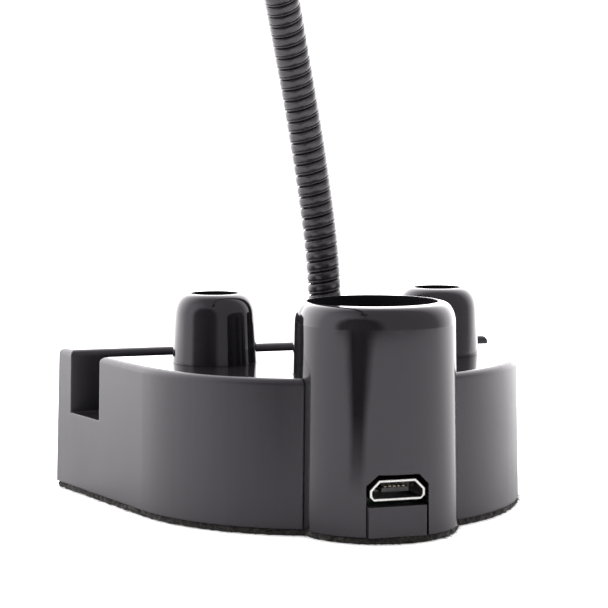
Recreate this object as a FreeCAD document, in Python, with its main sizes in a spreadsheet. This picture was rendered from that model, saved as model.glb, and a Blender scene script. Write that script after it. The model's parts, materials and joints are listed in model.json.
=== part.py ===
import FreeCAD, Part
import math
import os
import Sketcher

# Desk helping hand: a flared base with a tool cup, two sockets and a full-width slot, and a
# flexible arm that ends in a small ring lamp and a crocodile clip.
# Millimetres. +Z is up, -Y is the side of the cup and the power socket, and the origin is on
# the underside, on the axis of the arm's bushing.

Vector = FreeCAD.Vector
doc = FreeCAD.newDocument("HelpingHand")

# ---------------------------------------------------------------- driving dimensions
DIMENSIONS = {
    # base block
    "felt_thick": 1.0, "base_top": 21.25, "nose_radius": 29.25, "nose_centre_y": 2.94,
    "flare_angle": 13.2, "back_y": 24.0, "draft_angle": 1.15, "wall": 2.2, "roof": 2.6,
    "edge_round": 0.9, "slot_front_y": 9.9, "slot_back_y": 19.4, "slot_floor": 11.9,
    "trough_thick": 2.0, "cover_thick": 1.8, "cover_gap": 0.15, "felt_inset": 0.25,
    # tool cup
    "cup_y": -22.0, "cup_foot_radius": 11.25, "cup_rim_radius": 10.75, "cup_top": 31.2,
    "cup_bore": 9.0, "bore_shift": 1.6, "cup_floor": 10.5, "cup_floor_thick": 1.5,
    "cup_draft": 1.05, "seat_front": -1.0, "rim_rise": 2.9, "rim_run": 1.6, "rim_blend": 1.9,
    "chamber_radius": 9.2, "fit_gap": 0.06,
    # power socket in the cup's foot
    "port_x": -0.6, "port_wide": 7.7, "port_high": 2.75, "port_slope": 1.3,
    "port_corner": 0.55, "port_recess": 1.0,
    "port_deep": 5.6, "port_sheet": 0.3, "notch_wide": 8.6, "notch_top": 9.3, "notch_cut": 1.5,
    "tab_top": 5.1, "board_z": 4.55, "board_thick": 1.2, "board_half": 7.5,
    "board_front": 7.0, "board_hole_x": 5.3, "board_hole_front": -17.5, "board_hole_rear": 2.5,
    # sockets on both sides
    "post_x": 16.93, "post_y": -1.1, "post_foot_radius": 6.05, "post_radius": 5.75,
    "post_top": 31.1, "post_hole": 3.5, "post_floor": 22.8, "dome_rise": 3.3, "dome_run": 2.1,
    "dome_blend": 4.1,
    "spigot_radius": 4.0, "spigot_gap": 0.1,
    # arm
    "coil_radius": 2.45, "coil_bore": 1.3, "lead_radius": 0.95, "arm_step": 16.0,
    "arm_root_z": 33.0, "coil_foot_z": 13.5, "half_gap": 0.8, "end_chamfer": 0.6,
    "bush_shank": 4.0, "bush_flange": 4.6, "bush_flange_high": 1.75, "bush_top_z": 26.0,
    # ballast
    "ballast_half": 23.5, "ballast_front_y": -8.0, "ballast_back_y": 20.5,
    "ballast_z": 2.95, "ballast_high": 5.9, "channel_half": 9.5, "channel_back_y": 6.5,
    "screw_sink": 1.7, "stud_x": 21.6, "stud_y": 5.4, "front_boss_x": 18.5, "front_boss_y": -12.5,
    "rear_boss_x": 28.0, "rear_boss_y": 17.5, "boss_radius": 2.6, "pilot_radius": 1.25,
    # screws, washers and their holes
    "thread_gap": 0.03, "pilot_deep": 6.0, "post_pilot_deep": 3.2, "washer_radius": 5.2,
    "washer_thick": 0.8, "washer_eye": 1.45, "post_screw_long": 3.6, "pan_radius": 2.3,
    "pan_high": 1.5, "blade_thick": 0.6, "blade_long": 3.0, "blade_deep": 1.3,
    "cover_screw_long": 7.0, "sink_radius": 2.45, "sink_high": 1.2, "sink_room": 2.55,
    "sink_room_deep": 1.3, "ballast_screw_long": 9.0, "spigot_short": 0.2,
    "board_screw_radius": 0.75, "board_screw_long": 3.4, "board_head_radius": 1.7,
    "board_head_high": 1.1, "board_pillar": 1.9, "board_pilot": 0.78, "board_pilot_deep": 2.6,
    "board_screw_room": 1.05, "nut_corner": 6.9, "nut_high": 3.05, "arm_washer_radius": 6.6,
    "arm_washer_thick": 0.9, "bush_foot_z": 12.6, "bush_neck": 0.6, "solder_gap": 0.05,
    "terminal_high": 3.2, "tongue_half": 1.9, "tongue_thick": 0.6, "contact_pitch": 0.65,
    "contact_wide": 0.35, "contact_thick": 0.15,
    # lamp and clip, measured along the arm's last stretch
    "ferrule_radius": 3.3, "ferrule_start": 8.5, "ferrule_long": 10.5,
    "ferrule_bore": 13.0, "lamp_start": 17.0, "lamp_radius": 8.0, "lamp_mouth": 29.5,
    "lamp_wall": 0.8, "lamp_board_z": 25.0, "window_z": 28.0, "window_thick": 1.3,
    "grub_along": 1.9, "grub_radius": 1.0, "lead_offset": 2.35, "thin_lead": 0.5, "led_ring": 5.1,
    "rod_radius": 1.6, "rod_start": 13.5, "rod_end": 41.5, "neck_start": 41.6, "clip_start": 34.5,
    "barrel_radius": 2.1, "barrel_long": 8.0, "tail_under": 8.9, "tail_over": 9.8,
    "tail_back": 15.5, "pivot_z": 50.0, "pivot_y": 0.9,
    "jaw_tip": 73.5, "jaw_half": 2.75, "tip_half": 1.7, "jaw_sheet": 0.5, "jaw_deep": 2.5,
    "upper_half": 2.1, "upper_tip_half": 1.7, "upper_high": 3.1, "pin_radius": 0.7,
    "bite_gap": 0.12, "tooth_pitch": 1.5, "tooth_deep": 0.6, "teeth_start": 54.0,
    "spring_radius": 1.2, "wire_radius": 0.28,
}

# Lean from the vertical and compass heading, in degrees, of each stretch of the arm at rest.
ARM_COURSE = [(10.3, 207.0), (19.3, 222.8), (29.0, 233.1), (45.0, 236.6), (63.0, 240.0),
              (80.0, 243.3), (95.0, 245.2)]
for number, (lean, heading) in enumerate(ARM_COURSE, start=1):
    DIMENSIONS["lean_%d" % number] = lean
    DIMENSIONS["heading_%d" % number] = heading

sheet = doc.addObject("Spreadsheet::Sheet", "Sizes")
for row, (name, number) in enumerate(DIMENSIONS.items(), start=1):
    sheet.set("A%d" % row, name)
    sheet.set("B%d" % row, str(number))
    sheet.setAlias("B%d" % row, name)
doc.recompute()


class Size:
    """A length that carries its number and the sheet expression that drives it."""

    def __init__(self, number, text):
        self.number = number
        self.text = text

    def __add__(self, other):
        other = as_size(other)
        return Size(self.number + other.number, "(%s + %s)" % (self.text, other.text))

    def __sub__(self, other):
        other = as_size(other)
        return Size(self.number - other.number, "(%s - %s)" % (self.text, other.text))

    def __mul__(self, factor):
        return Size(self.number * factor, "(%s * %s)" % (self.text, factor))

    def __neg__(self):
        return self * -1

    def __radd__(self, other):
        return as_size(other) + self

    def __rsub__(self, other):
        return as_size(other) - self


def as_size(value):
    if isinstance(value, Size):
        return value
    return Size(float(value), "(%s)" % float(value))


class Sheet:
    """Reads a cell by its alias, as in at.cup_top."""

    def __getattr__(self, alias):
        return Size(float(sheet.get(alias)), "Sizes." + alias)


at = Sheet()
ON_AXIS = as_size(0.0)
parts = []


# ---------------------------------------------------------------- helpers
def bind(thing, prop, size):
    thing.setExpression(prop, as_size(size).text)


def new_body(label):
    body = doc.addObject("PartDesign::Body", label)
    body.Label = label
    parts.append(body)
    return body


def new_sketch(body, role="XY_Plane", offset=0.0):
    """A sketch on one of the body's own origin planes, moved along that plane's normal."""
    sketch = body.newObject("Sketcher::SketchObject", body.Label + "_sketch")
    plane = [item for item in body.Origin.OriginFeatures if item.Role == role][0]
    sketch.AttachmentSupport = [(plane, "")]
    sketch.MapMode = "FlatFace"
    bind(sketch, "AttachmentOffset.Base.z", offset)
    return sketch


def constrain(sketch, kind, first, second, size):
    index = sketch.addConstraint(Sketcher.Constraint(kind, *first, *second, as_size(size).number))
    bind(sketch, "Constraints[%d]" % index, size)


def pin_point(sketch, edge, end, x, y):
    constrain(sketch, "DistanceX", (-1, 1), (edge, end), x)
    constrain(sketch, "DistanceY", (-1, 1), (edge, end), y)


def add_circle(sketch, x, y, radius):
    centre = Vector(as_size(x).number, as_size(y).number, 0)
    edge = sketch.addGeometry(Part.Circle(centre, Vector(0, 0, 1), as_size(radius).number), False)
    pin_point(sketch, edge, 3, x, y)
    constrain(sketch, "Radius", (edge,), (), radius)


def add_outline(sketch, corners, skip=None):
    """A closed outline of straight edges, every corner held by the sheet.

    The edge numbered skip is left open, for a curve that closes the outline there.
    """
    spots = [Vector(as_size(x).number, as_size(y).number, 0) for x, y in corners]
    count = len(spots)
    edges = {}
    for i in range(count):
        if i != skip:
            edges[i] = sketch.addGeometry(Part.LineSegment(spots[i], spots[(i + 1) % count]), False)
    for i, edge in edges.items():
        following = (i + 1) % count
        if following in edges:
            sketch.addConstraint(Sketcher.Constraint("Coincident", edge, 2, edges[following], 1))
        else:
            pin_point(sketch, edge, 2, *corners[following])
        pin_point(sketch, edge, 1, *corners[i])


def add_domed_outline(sketch, below, lip, shoulder_z, rise, run, blend):
    """Half a drafted drum with an elliptical shoulder, from the corners below up to its top.

    The side meets the shoulder where both lean by the same draft, blend degrees up the curve.
    """
    angle = math.radians(blend.number)
    touch = (lip + run * math.cos(angle), shoulder_z + rise * math.sin(angle))
    top_z = shoulder_z + rise
    corners = below + [touch, (lip, top_z), (0.0, top_z)]
    add_outline(sketch, corners, skip=len(below))
    centre = Vector(lip.number, shoulder_z.number, 0)
    curve = Part.Ellipse(centre + Vector(0, rise.number, 0), centre + Vector(-run.number, 0, 0),
                         centre)
    arc = sketch.addGeometry(Part.ArcOfEllipse(curve, 1.5 * math.pi + angle, 2 * math.pi), False)
    below_edge = len(below) - 1
    sketch.addConstraint(Sketcher.Constraint("Coincident", arc, 1, below_edge, 2))
    sketch.addConstraint(Sketcher.Constraint("Coincident", arc, 2, below_edge + 1, 1))
    pin_point(sketch, arc, 3, lip, shoulder_z)


def add_box(sketch, x_low, y_low, x_high, y_high):
    add_outline(sketch, [(x_low, y_low), (x_high, y_low), (x_high, y_high), (x_low, y_high)])


def add_plan(sketch, inset, back):
    """The base's plan: a round nose, flared straight sides and a straight back."""
    radius = at.nose_radius.number - as_size(inset).number
    centre_y = at.nose_centre_y.number
    flare = math.radians(at.flare_angle.number)
    back_y = as_size(back).number
    touch = Vector(radius * math.cos(flare), centre_y - radius * math.sin(flare), 0)
    corner = Vector(touch.x + (back_y - touch.y) * math.tan(flare), back_y, 0)
    arc = Part.ArcOfCircle(Part.Circle(Vector(0, centre_y, 0), Vector(0, 0, 1), radius),
                           math.pi + flare, 2 * math.pi - flare)
    nose = sketch.addGeometry(arc, False)
    right = sketch.addGeometry(Part.LineSegment(touch, corner), False)
    rear = sketch.addGeometry(Part.LineSegment(corner, Vector(-corner.x, back_y, 0)), False)
    left = sketch.addGeometry(Part.LineSegment(Vector(-corner.x, back_y, 0),
                                               Vector(-touch.x, touch.y, 0)), False)
    for kind, one, one_end, two, two_end in (("Tangent", nose, 2, right, 1),
                                             ("Coincident", right, 2, rear, 1),
                                             ("Coincident", rear, 2, left, 1),
                                             ("Tangent", left, 2, nose, 1)):
        sketch.addConstraint(Sketcher.Constraint(kind, one, one_end, two, two_end))
    sketch.addConstraint(Sketcher.Constraint("Symmetric", right, 2, left, 1, -2))
    pin_point(sketch, nose, 3, 0.0, at.nose_centre_y)
    constrain(sketch, "Radius", (nose,), (), at.nose_radius - inset)
    constrain(sketch, "DistanceY", (-1, 1), (right, 2), back)
    angle = sketch.addConstraint(Sketcher.Constraint("Angle", right, math.pi / 2 - flare))
    sketch.setExpression("Constraints[%d]" % angle, "(90 - Sizes.flare_angle) * 1 deg")


def add_feature(body, kind, sketch):
    feature = body.newObject("PartDesign::" + kind, body.Label + "_" + kind.lower())
    feature.Profile = sketch
    return feature


def add_pad(body, sketch, length):
    pad = add_feature(body, "Pad", sketch)
    bind(pad, "Length", length)
    return pad


def cut_pocket(body, sketch, depth, upward):
    """Cuts along the sketch's normal when upward is true, else against it, and proves the cut."""
    doc.recompute()
    before = body.Shape.Volume
    pocket = add_feature(body, "Pocket", sketch)
    bind(pocket, "Length", depth)
    pocket.Reversed = upward
    doc.recompute()
    if body.Shape.Volume >= before:
        raise RuntimeError("a pocket in %s cuts nothing" % body.Label)
    return pocket


def turn(body, sketch):
    turned = add_feature(body, "Revolution", sketch)
    turned.ReferenceAxis = (sketch, ["V_Axis"])
    turned.Angle = 360.0


def lathe(body, outline):
    """A turned piece: its half section, as (radius, height) corners, spun about the height axis."""
    sketch = new_sketch(body, "XZ_Plane")
    add_outline(sketch, outline)
    turn(body, sketch)


def round_edges(body, size, wanted, kind="Fillet"):
    """Rounds or bevels every edge of the body's last feature that passes the test."""
    doc.recompute()
    tip = body.Tip
    names = ["Edge%d" % (i + 1) for i, edge in enumerate(tip.Shape.Edges) if wanted(edge)]
    dress = body.newObject("PartDesign::" + kind, body.Label + "_" + kind.lower())
    dress.Base = (tip, names)
    bind(dress, "Radius" if kind == "Fillet" else "Size", size)
    return dress


def place(thing, x=0.0, y=0.0, z=0.0):
    for letter, size in zip("xyz", (x, y, z)):
        bind(thing, "Placement.Base." + letter, size)


def cylinder(label, radius, height, x=0.0, y=0.0, z=0.0):
    solid = doc.addObject("Part::Cylinder", label)
    bind(solid, "Radius", radius)
    bind(solid, "Height", height)
    place(solid, x, y, z)
    return solid


def block(label, x_low, y_low, z_low, length, width, height):
    solid = doc.addObject("Part::Box", label)
    bind(solid, "Length", length)
    bind(solid, "Width", width)
    bind(solid, "Height", height)
    place(solid, x_low, y_low, z_low)
    return solid


def cut(label, base, tool):
    result = doc.addObject("Part::Cut", label)
    result.Base = base
    result.Tool = tool
    return result


def group(label, members):
    """Identical loose pieces kept in one node as separate solids."""
    joined = doc.addObject("Part::Compound", label)
    joined.Links = members
    return as_part(joined)


def as_part(thing):
    thing.Label = thing.Name
    parts.append(thing)
    return thing


def is_level(edge, z):
    box = edge.BoundBox
    return abs(box.ZMin - z) < 0.01 and abs(box.ZMax - z) < 0.01


# ---------------------------------------------------------------- base shell
def make_base_shell():
    body = new_body("base_shell")
    plan = new_sketch(body, offset=at.felt_thick)
    add_plan(plan, 0.0, at.back_y)
    pad = add_pad(body, plan, at.base_top - at.felt_thick)
    bind(pad, "TaperAngle", -at.draft_angle)

    slot = new_sketch(body, offset=at.base_top)
    add_box(slot, -at.nose_radius * 1.5, at.slot_front_y, at.nose_radius * 1.5, at.slot_back_y)
    cut_pocket(body, slot, at.base_top - at.slot_floor, upward=False)
    round_edges(body, at.edge_round, lambda edge: is_level(edge, at.base_top.number))

    low = new_sketch(body, offset=at.felt_thick)
    add_plan(low, at.wall, at.back_y - at.wall)
    under_trough = at.slot_floor - at.trough_thick
    cut_pocket(body, low, under_trough - at.felt_thick, upward=True)

    chamber = new_sketch(body, offset=under_trough)
    add_plan(chamber, at.wall + 0.35, at.slot_front_y - at.wall)
    cut_pocket(body, chamber, at.base_top - at.roof - under_trough, upward=True)

    roof_z = at.base_top - at.roof
    seat_z = at.felt_thick + at.cover_thick + at.cover_gap
    for x, y, low_z, high_z, radius in (
            (at.front_boss_x, at.front_boss_y, seat_z, roof_z, at.boss_radius),
            (at.rear_boss_x, at.rear_boss_y, seat_z, under_trough, at.boss_radius),
            (at.stud_x, at.stud_y, at.ballast_z + at.ballast_high + 0.1, roof_z, at.boss_radius)):
        bosses = new_sketch(body, offset=low_z)
        for side in (-1, 1):
            add_circle(bosses, x * side, y, radius)
        add_pad(body, bosses, high_z - low_z + 0.5)
        pilots = new_sketch(body, offset=low_z)
        for side in (-1, 1):
            add_circle(pilots, x * side, y, at.pilot_radius + at.thread_gap)
        cut_pocket(body, pilots, at.pilot_deep, upward=True)

    for x, y, radius in ((at.post_x, at.post_y, at.spigot_radius + at.spigot_gap),
                         (-at.post_x, at.post_y, at.spigot_radius + at.spigot_gap),
                         (0.0, 0.0, at.bush_shank + at.spigot_gap)):
        hole = new_sketch(body, offset=at.base_top)
        add_circle(hole, x, y, radius)
        cut_pocket(body, hole, at.roof + 1.0, upward=False)

    snug = at.cup_foot_radius + at.fit_gap
    for behind in (ON_AXIS, at.bore_shift):
        round_cut = new_sketch(body, offset=at.felt_thick)
        add_circle(round_cut, 0.0, at.cup_y + behind, snug)
        cut_cup_room(body, round_cut)
    flat_cut = new_sketch(body, offset=at.felt_thick)
    add_box(flat_cut, -snug, at.cup_y, snug, at.cup_y + at.bore_shift)
    cut_cup_room(body, flat_cut)


def cut_cup_room(body, sketch):
    """Clears the shell around the cup, with the cup's own draft so that the gap stays even."""
    pocket = add_feature(body, "Pocket", sketch)
    bind(pocket, "Length", at.base_top)
    bind(pocket, "TaperAngle", -at.cup_draft)
    pocket.Reversed = True


# ---------------------------------------------------------------- tool cup
def make_tool_cup():
    """Drawn about its own axis: two round drums, one behind the other, flat-sided between."""
    body = new_body("tool_cup")
    shoulder_z = at.cup_top - at.rim_rise
    lip = at.cup_rim_radius - at.rim_run
    for behind in (ON_AXIS, at.bore_shift):
        drum = new_sketch(body, "XZ_Plane", offset=-behind)
        add_domed_outline(drum, [(0.0, at.felt_thick), (at.cup_foot_radius, at.felt_thick)],
                          lip, shoulder_z, at.rim_rise, at.rim_run, at.rim_blend)
        turn(body, drum)
    sides = new_sketch(body, offset=at.felt_thick)
    add_box(sides, -at.cup_foot_radius, 0.0, at.cup_foot_radius, at.bore_shift)
    flat = add_pad(body, sides, shoulder_z - at.felt_thick)
    bind(flat, "TaperAngle", -at.cup_draft)

    bore = new_sketch(body, offset=at.cup_top)
    add_circle(bore, 0.0, at.bore_shift, at.cup_bore)
    cut_pocket(body, bore, at.cup_top - at.cup_floor, upward=False)
    chamber = new_sketch(body, offset=at.felt_thick)
    add_circle(chamber, 0.0, 0.0, at.chamber_radius)
    chamber_high = at.cup_floor - at.cup_floor_thick - at.felt_thick
    cut_pocket(body, chamber, chamber_high, upward=True)
    passage = new_sketch(body, offset=at.felt_thick)
    rear = at.bore_shift + at.cup_foot_radius + 1.0
    add_box(passage, -at.chamber_radius, 0.0, at.chamber_radius, rear)
    cut_pocket(body, passage, chamber_high, upward=True)
    seat = new_sketch(body, offset=at.felt_thick)
    add_box(seat, -at.cup_foot_radius * 1.5, at.seat_front, at.cup_foot_radius * 1.5, rear)
    cut_pocket(body, seat, at.cover_thick + at.cover_gap, upward=True)

    notch = new_sketch(body, "XZ_Plane")
    half = at.notch_wide * 0.5
    add_outline(notch, [(at.port_x - half, 0.0), (at.port_x + half, 0.0),
                        (at.port_x + half, at.notch_top - at.notch_cut),
                        (at.port_x + half - at.notch_cut, at.notch_top),
                        (at.port_x - half + at.notch_cut, at.notch_top),
                        (at.port_x - half, at.notch_top - at.notch_cut)])
    cut_pocket(body, notch, at.cup_foot_radius + 1.0, upward=True)
    place(body, y=at.cup_y)


# ---------------------------------------------------------------- side sockets
def make_post(label, side):
    body = new_body(label)
    foot = at.base_top
    half = new_sketch(body, "XZ_Plane")
    spigot_z = foot - at.roof + at.spigot_short
    add_domed_outline(half, [(0.0, spigot_z), (at.spigot_radius, spigot_z),
                             (at.spigot_radius, foot), (at.post_foot_radius, foot)],
                      at.post_radius - at.dome_run, at.post_top - at.dome_rise, at.dome_rise,
                      at.dome_run, at.dome_blend)
    turn(body, half)
    socket = new_sketch(body, offset=at.post_top)
    add_circle(socket, 0.0, 0.0, at.post_hole)
    cut_pocket(body, socket, at.post_top - at.post_floor, upward=False)
    pilot = new_sketch(body, offset=foot - at.roof)
    add_circle(pilot, 0.0, 0.0, at.pilot_radius + at.thread_gap)
    cut_pocket(body, pilot, at.post_pilot_deep, upward=True)
    place(body, at.post_x * side, at.post_y)


def make_post_fixings():
    under = at.base_top - at.roof
    washers = []
    screws = []
    for side, name in ((-1, "left"), (1, "right")):
        x = at.post_x * side
        low = under - at.washer_thick
        disc = cylinder("washer_disc_" + name, at.washer_radius, at.washer_thick, x, at.post_y, low)
        eye = cylinder("washer_eye_" + name, at.washer_eye, at.washer_thick, x, at.post_y, low)
        washers.append(cut("washer_" + name, disc, eye))
        screws.append(pan_screw("post_screw_" + name, x, at.post_y, low, at.post_screw_long))
    group("post_washers", washers)
    group("post_screws", screws)


def pan_screw(name, x, y, seat_z, length):
    """A self-tapping screw driven upwards; its head hangs below seat_z."""
    shank = cylinder(name + "_shank", at.pilot_radius, length, x, y, seat_z)
    head = cylinder(name + "_head", at.pan_radius, at.pan_high, x, y, seat_z - at.pan_high)
    socket = driver_slot(name, x, y, seat_z - at.pan_high)
    whole = doc.addObject("Part::Fuse", name + "_whole")
    whole.Base = shank
    whole.Tool = head
    return cut(name, whole, socket)


def driver_slot(name, x, y, face_z):
    """The straight slot in a screw's head, cut upwards from the head's face."""
    return block(name + "_slot", x - at.blade_thick * 0.5, y - at.blade_long * 0.5, face_z,
                 at.blade_thick, at.blade_long, at.blade_deep * 0.6)


def flat_screw(name, x, y, seat_z, length):
    """A countersunk screw driven upwards from seat_z."""
    shank = cylinder(name + "_shank", at.pilot_radius, length, x, y, seat_z)
    head = doc.addObject("Part::Cone", name + "_head")
    bind(head, "Radius1", at.sink_radius)
    bind(head, "Radius2", at.pilot_radius)
    bind(head, "Height", at.sink_high)
    place(head, x, y, seat_z)
    socket = driver_slot(name, x, y, seat_z)
    whole = doc.addObject("Part::Fuse", name + "_whole")
    whole.Base = shank
    whole.Tool = head
    return cut(name, whole, socket)


# ---------------------------------------------------------------- underside
COVER_SPOTS = ((at.front_boss_x, at.front_boss_y), (at.rear_boss_x, at.rear_boss_y))
BOARD_SPOTS = ((-at.board_hole_x, at.board_hole_front), (at.board_hole_x, at.board_hole_rear))


def make_cover():
    body = new_body("bottom_cover")
    plan = new_sketch(body, offset=at.felt_thick)
    add_plan(plan, at.wall + at.cover_gap, at.back_y - at.wall - at.cover_gap)
    add_pad(body, plan, at.cover_thick)
    nose = new_sketch(body, offset=at.felt_thick)
    add_circle(nose, 0.0, at.cup_y, at.chamber_radius - at.cover_gap)
    add_pad(body, nose, at.cover_thick)
    tab = new_sketch(body, offset=at.felt_thick)
    half = at.notch_wide * 0.5
    front = at.cup_y - at.cup_foot_radius
    add_box(tab, at.port_x - half + 0.1, front + 0.35, at.port_x + half - 0.4, front + 2.8)
    add_pad(body, tab, at.tab_top - at.felt_thick)
    pillars = new_sketch(body, offset=at.felt_thick)
    for x, y in BOARD_SPOTS:
        add_circle(pillars, x, y, at.board_pillar)
    add_pad(body, pillars, at.board_z - at.felt_thick)
    holes = new_sketch(body, offset=at.felt_thick)
    for x, y in COVER_SPOTS:
        for side in (-1, 1):
            add_circle(holes, x * side, y, at.pilot_radius + 0.15)
    cut_pocket(body, holes, at.cover_thick, upward=True)
    pilots = new_sketch(body, offset=at.board_z)
    for x, y in BOARD_SPOTS:
        add_circle(pilots, x, y, at.board_pilot)
    cut_pocket(body, pilots, at.board_pilot_deep, upward=False)
    sinks = new_sketch(body, offset=at.felt_thick)
    for x, y in COVER_SPOTS:
        for side in (-1, 1):
            add_circle(sinks, x * side, y, at.sink_room)
    cut_pocket(body, sinks, at.sink_room_deep, upward=True)


def make_cover_screws():
    screws = []
    for number, (x, y) in enumerate(COVER_SPOTS):
        for side, name in ((-1, "left"), (1, "right")):
            screws.append(flat_screw("cover_screw_%s_%d" % (name, number), x * side, y,
                                     at.felt_thick + at.solder_gap, at.cover_screw_long))
    group("cover_screws", screws)


def make_felt():
    body = new_body("felt_pad")
    plan = new_sketch(body)
    add_plan(plan, at.felt_inset, at.back_y - at.felt_inset)
    add_pad(body, plan, at.felt_thick)
    nose = new_sketch(body)
    add_circle(nose, 0.0, at.cup_y, at.cup_foot_radius - at.felt_inset)
    add_pad(body, nose, at.felt_thick)


def make_ballast():
    body = new_body("ballast_plate")
    plan = new_sketch(body, offset=at.ballast_z)
    add_outline(plan, [(-at.ballast_half, at.ballast_front_y), (-at.channel_half, at.ballast_front_y),
                       (-at.channel_half, at.channel_back_y), (at.channel_half, at.channel_back_y),
                       (at.channel_half, at.ballast_front_y), (at.ballast_half, at.ballast_front_y),
                       (at.ballast_half, at.ballast_back_y), (-at.ballast_half, at.ballast_back_y)])
    add_pad(body, plan, at.ballast_high)
    heads = new_sketch(body, offset=at.ballast_z)
    shanks = new_sketch(body, offset=at.ballast_z)
    for side in (-1, 1):
        add_circle(heads, at.stud_x * side, at.stud_y, 2.5)
        add_circle(shanks, at.stud_x * side, at.stud_y, at.pilot_radius + 0.2)
    cut_pocket(body, heads, at.screw_sink, upward=True)
    cut_pocket(body, shanks, at.ballast_high, upward=True)
    screws = []
    for side, name in ((-1, "left"), (1, "right")):
        screws.append(pan_screw("ballast_screw_" + name, at.stud_x * side, at.stud_y,
                                at.ballast_z + at.pan_high + 0.15, at.ballast_screw_long))
    group("ballast_screws", screws)


# ---------------------------------------------------------------- electronics
def make_board():
    body = new_body("circuit_board")
    plan = new_sketch(body, offset=at.board_z)
    nose = at.port_wide * 0.5 + 0.15
    front = at.cup_y - at.board_front
    add_outline(plan, [(at.port_x - nose, front), (at.port_x + nose, front),
                       (at.port_x + nose, front + 6.0), (at.board_half, front + 6.0),
                       (at.board_half, 5.0), (-at.board_half, 5.0),
                       (-at.board_half, front + 6.0), (at.port_x - nose, front + 6.0)])
    add_pad(body, plan, at.board_thick)
    holes = new_sketch(body, offset=at.board_z)
    for x, y in BOARD_SPOTS:
        add_circle(holes, x, y, at.board_screw_room)
    cut_pocket(body, holes, at.board_thick, upward=True)

    top = at.board_z + at.board_thick
    screws = []
    for number, (x, y) in enumerate(BOARD_SPOTS):
        shank = cylinder("board_screw_shank_%d" % number, at.board_screw_radius,
                         at.board_screw_long, x, y, top - at.board_screw_long)
        head = cylinder("board_screw_head_%d" % number, at.board_head_radius,
                        at.board_head_high, x, y, top)
        whole = doc.addObject("Part::Fuse", "board_screw_%d" % number)
        whole.Base = shank
        whole.Tool = head
        screws.append(whole)
    group("board_screws", screws)
    seat = top + at.solder_gap
    as_part(block("driver_chip", -2.0, -16.0, seat, 4.0, 5.0, 1.4))
    as_part(block("power_choke", -2.5, -9.5, seat, 5.0, 5.0, 2.8))
    group("board_capacitors", [block("capacitor_%d" % i, 3.6, y, seat, 1.6, 3.2, 1.5)
                               for i, y in enumerate((-16.0, -11.0))])
    group("board_resistors", [block("resistor_%d" % i, -5.4, y, seat, 1.6, 0.9, 0.5)
                              for i, y in enumerate((-13.0, -11.0, -9.0, -7.0))])
    as_part(block("lead_terminal", -3.0, -2.2, seat, 6.0, 4.4, at.terminal_high))


def make_power_socket():
    """A small flared power socket: shell, tongue and five contacts."""
    mouth = at.cup_y - at.cup_foot_radius + at.port_recess
    low = at.board_z + at.board_thick + at.solder_gap
    half = at.port_wide * 0.5
    shell = new_body("power_socket_shell")
    section = new_sketch(shell, "XZ_Plane", offset=-mouth)

    def ring(inset):
        high = low + at.port_high
        return [(at.port_x - half + at.port_corner, low + inset),
                (at.port_x + half - at.port_corner, low + inset),
                (at.port_x + half - inset, low + at.port_corner + inset * 0.4),
                (at.port_x + half - inset, high - at.port_slope - inset * 0.4),
                (at.port_x + half - at.port_slope - inset * 0.4, high - inset),
                (at.port_x - half + at.port_slope + inset * 0.4, high - inset),
                (at.port_x - half + inset, high - at.port_slope - inset * 0.4),
                (at.port_x - half + inset, low + at.port_corner + inset * 0.4)]

    add_outline(section, ring(0.0))
    pad = add_pad(shell, section, at.port_deep)
    pad.Reversed = True
    hollow = new_sketch(shell, "XZ_Plane", offset=-mouth)
    add_outline(hollow, ring(at.port_sheet))
    cut_pocket(shell, hollow, at.port_deep - at.port_sheet, upward=False)

    tongue_z = low + at.port_high * 0.36
    as_part(block("power_socket_tongue", at.port_x - at.tongue_half, mouth + 1.0, tongue_z,
                  at.tongue_half * 2, at.port_deep - 1.45, at.tongue_thick))
    group("power_socket_contacts",
          [block("contact_%d" % i, at.port_x - 1.5 + at.contact_pitch * i, mouth + 1.2,
                 tongue_z + at.tongue_thick + 0.02, at.contact_wide, at.port_deep - 1.9,
                 at.contact_thick) for i in range(5)])


# ---------------------------------------------------------------- arm
def make_bushing():
    body = new_body("arm_bushing")
    top = at.base_top
    bore = at.coil_radius + 0.05
    lathe(body, [(bore, at.bush_foot_z), (at.bush_shank, at.bush_foot_z), (at.bush_shank, top),
                 (at.bush_flange, top), (at.bush_flange, top + at.bush_flange_high),
                 (at.bush_shank, top + at.bush_flange_high + at.bush_neck),
                 (at.coil_radius + 1.0, at.bush_top_z), (bore, at.bush_top_z)])
    under = at.base_top - at.roof
    low = under - at.arm_washer_thick
    disc = cylinder("arm_washer_disc", at.arm_washer_radius, at.arm_washer_thick, 0.0, 0.0, low)
    eye = cylinder("arm_washer_eye", at.bush_shank + at.spigot_gap, at.arm_washer_thick,
                   0.0, 0.0, low)
    as_part(cut("arm_washer", disc, eye))
    nut = new_body("arm_nut")
    nut_z = low - at.nut_high - at.solder_gap
    hexagon = new_sketch(nut, offset=nut_z)
    add_outline(hexagon, hexagon_corners(at.nut_corner, 0.0))
    add_pad(nut, hexagon, at.nut_high)
    thread = new_sketch(nut, offset=nut_z)
    add_circle(thread, 0.0, 0.0, at.bush_shank + at.thread_gap)
    cut_pocket(nut, thread, at.nut_high, upward=True)


def hexagon_corners(radius, centre_y):
    """Six corners about a centre on the sketch's upright axis."""
    turns = [math.radians(60 * i) for i in range(6)]
    return [(radius * math.cos(angle), radius * math.sin(angle) + centre_y) for angle in turns]


def stretch_frame(number):
    """The arm's own axes on one stretch: across, upwards and along."""
    lean = math.radians(getattr(at, "lean_%d" % number).number)
    heading = math.radians(getattr(at, "heading_%d" % number).number)
    level = Vector(math.cos(heading), math.sin(heading), 0)
    across = Vector(0, 0, 1).cross(level)
    along = level * math.sin(lean) + Vector(0, 0, 1) * math.cos(lean)
    return across, along.cross(across), along


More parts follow.
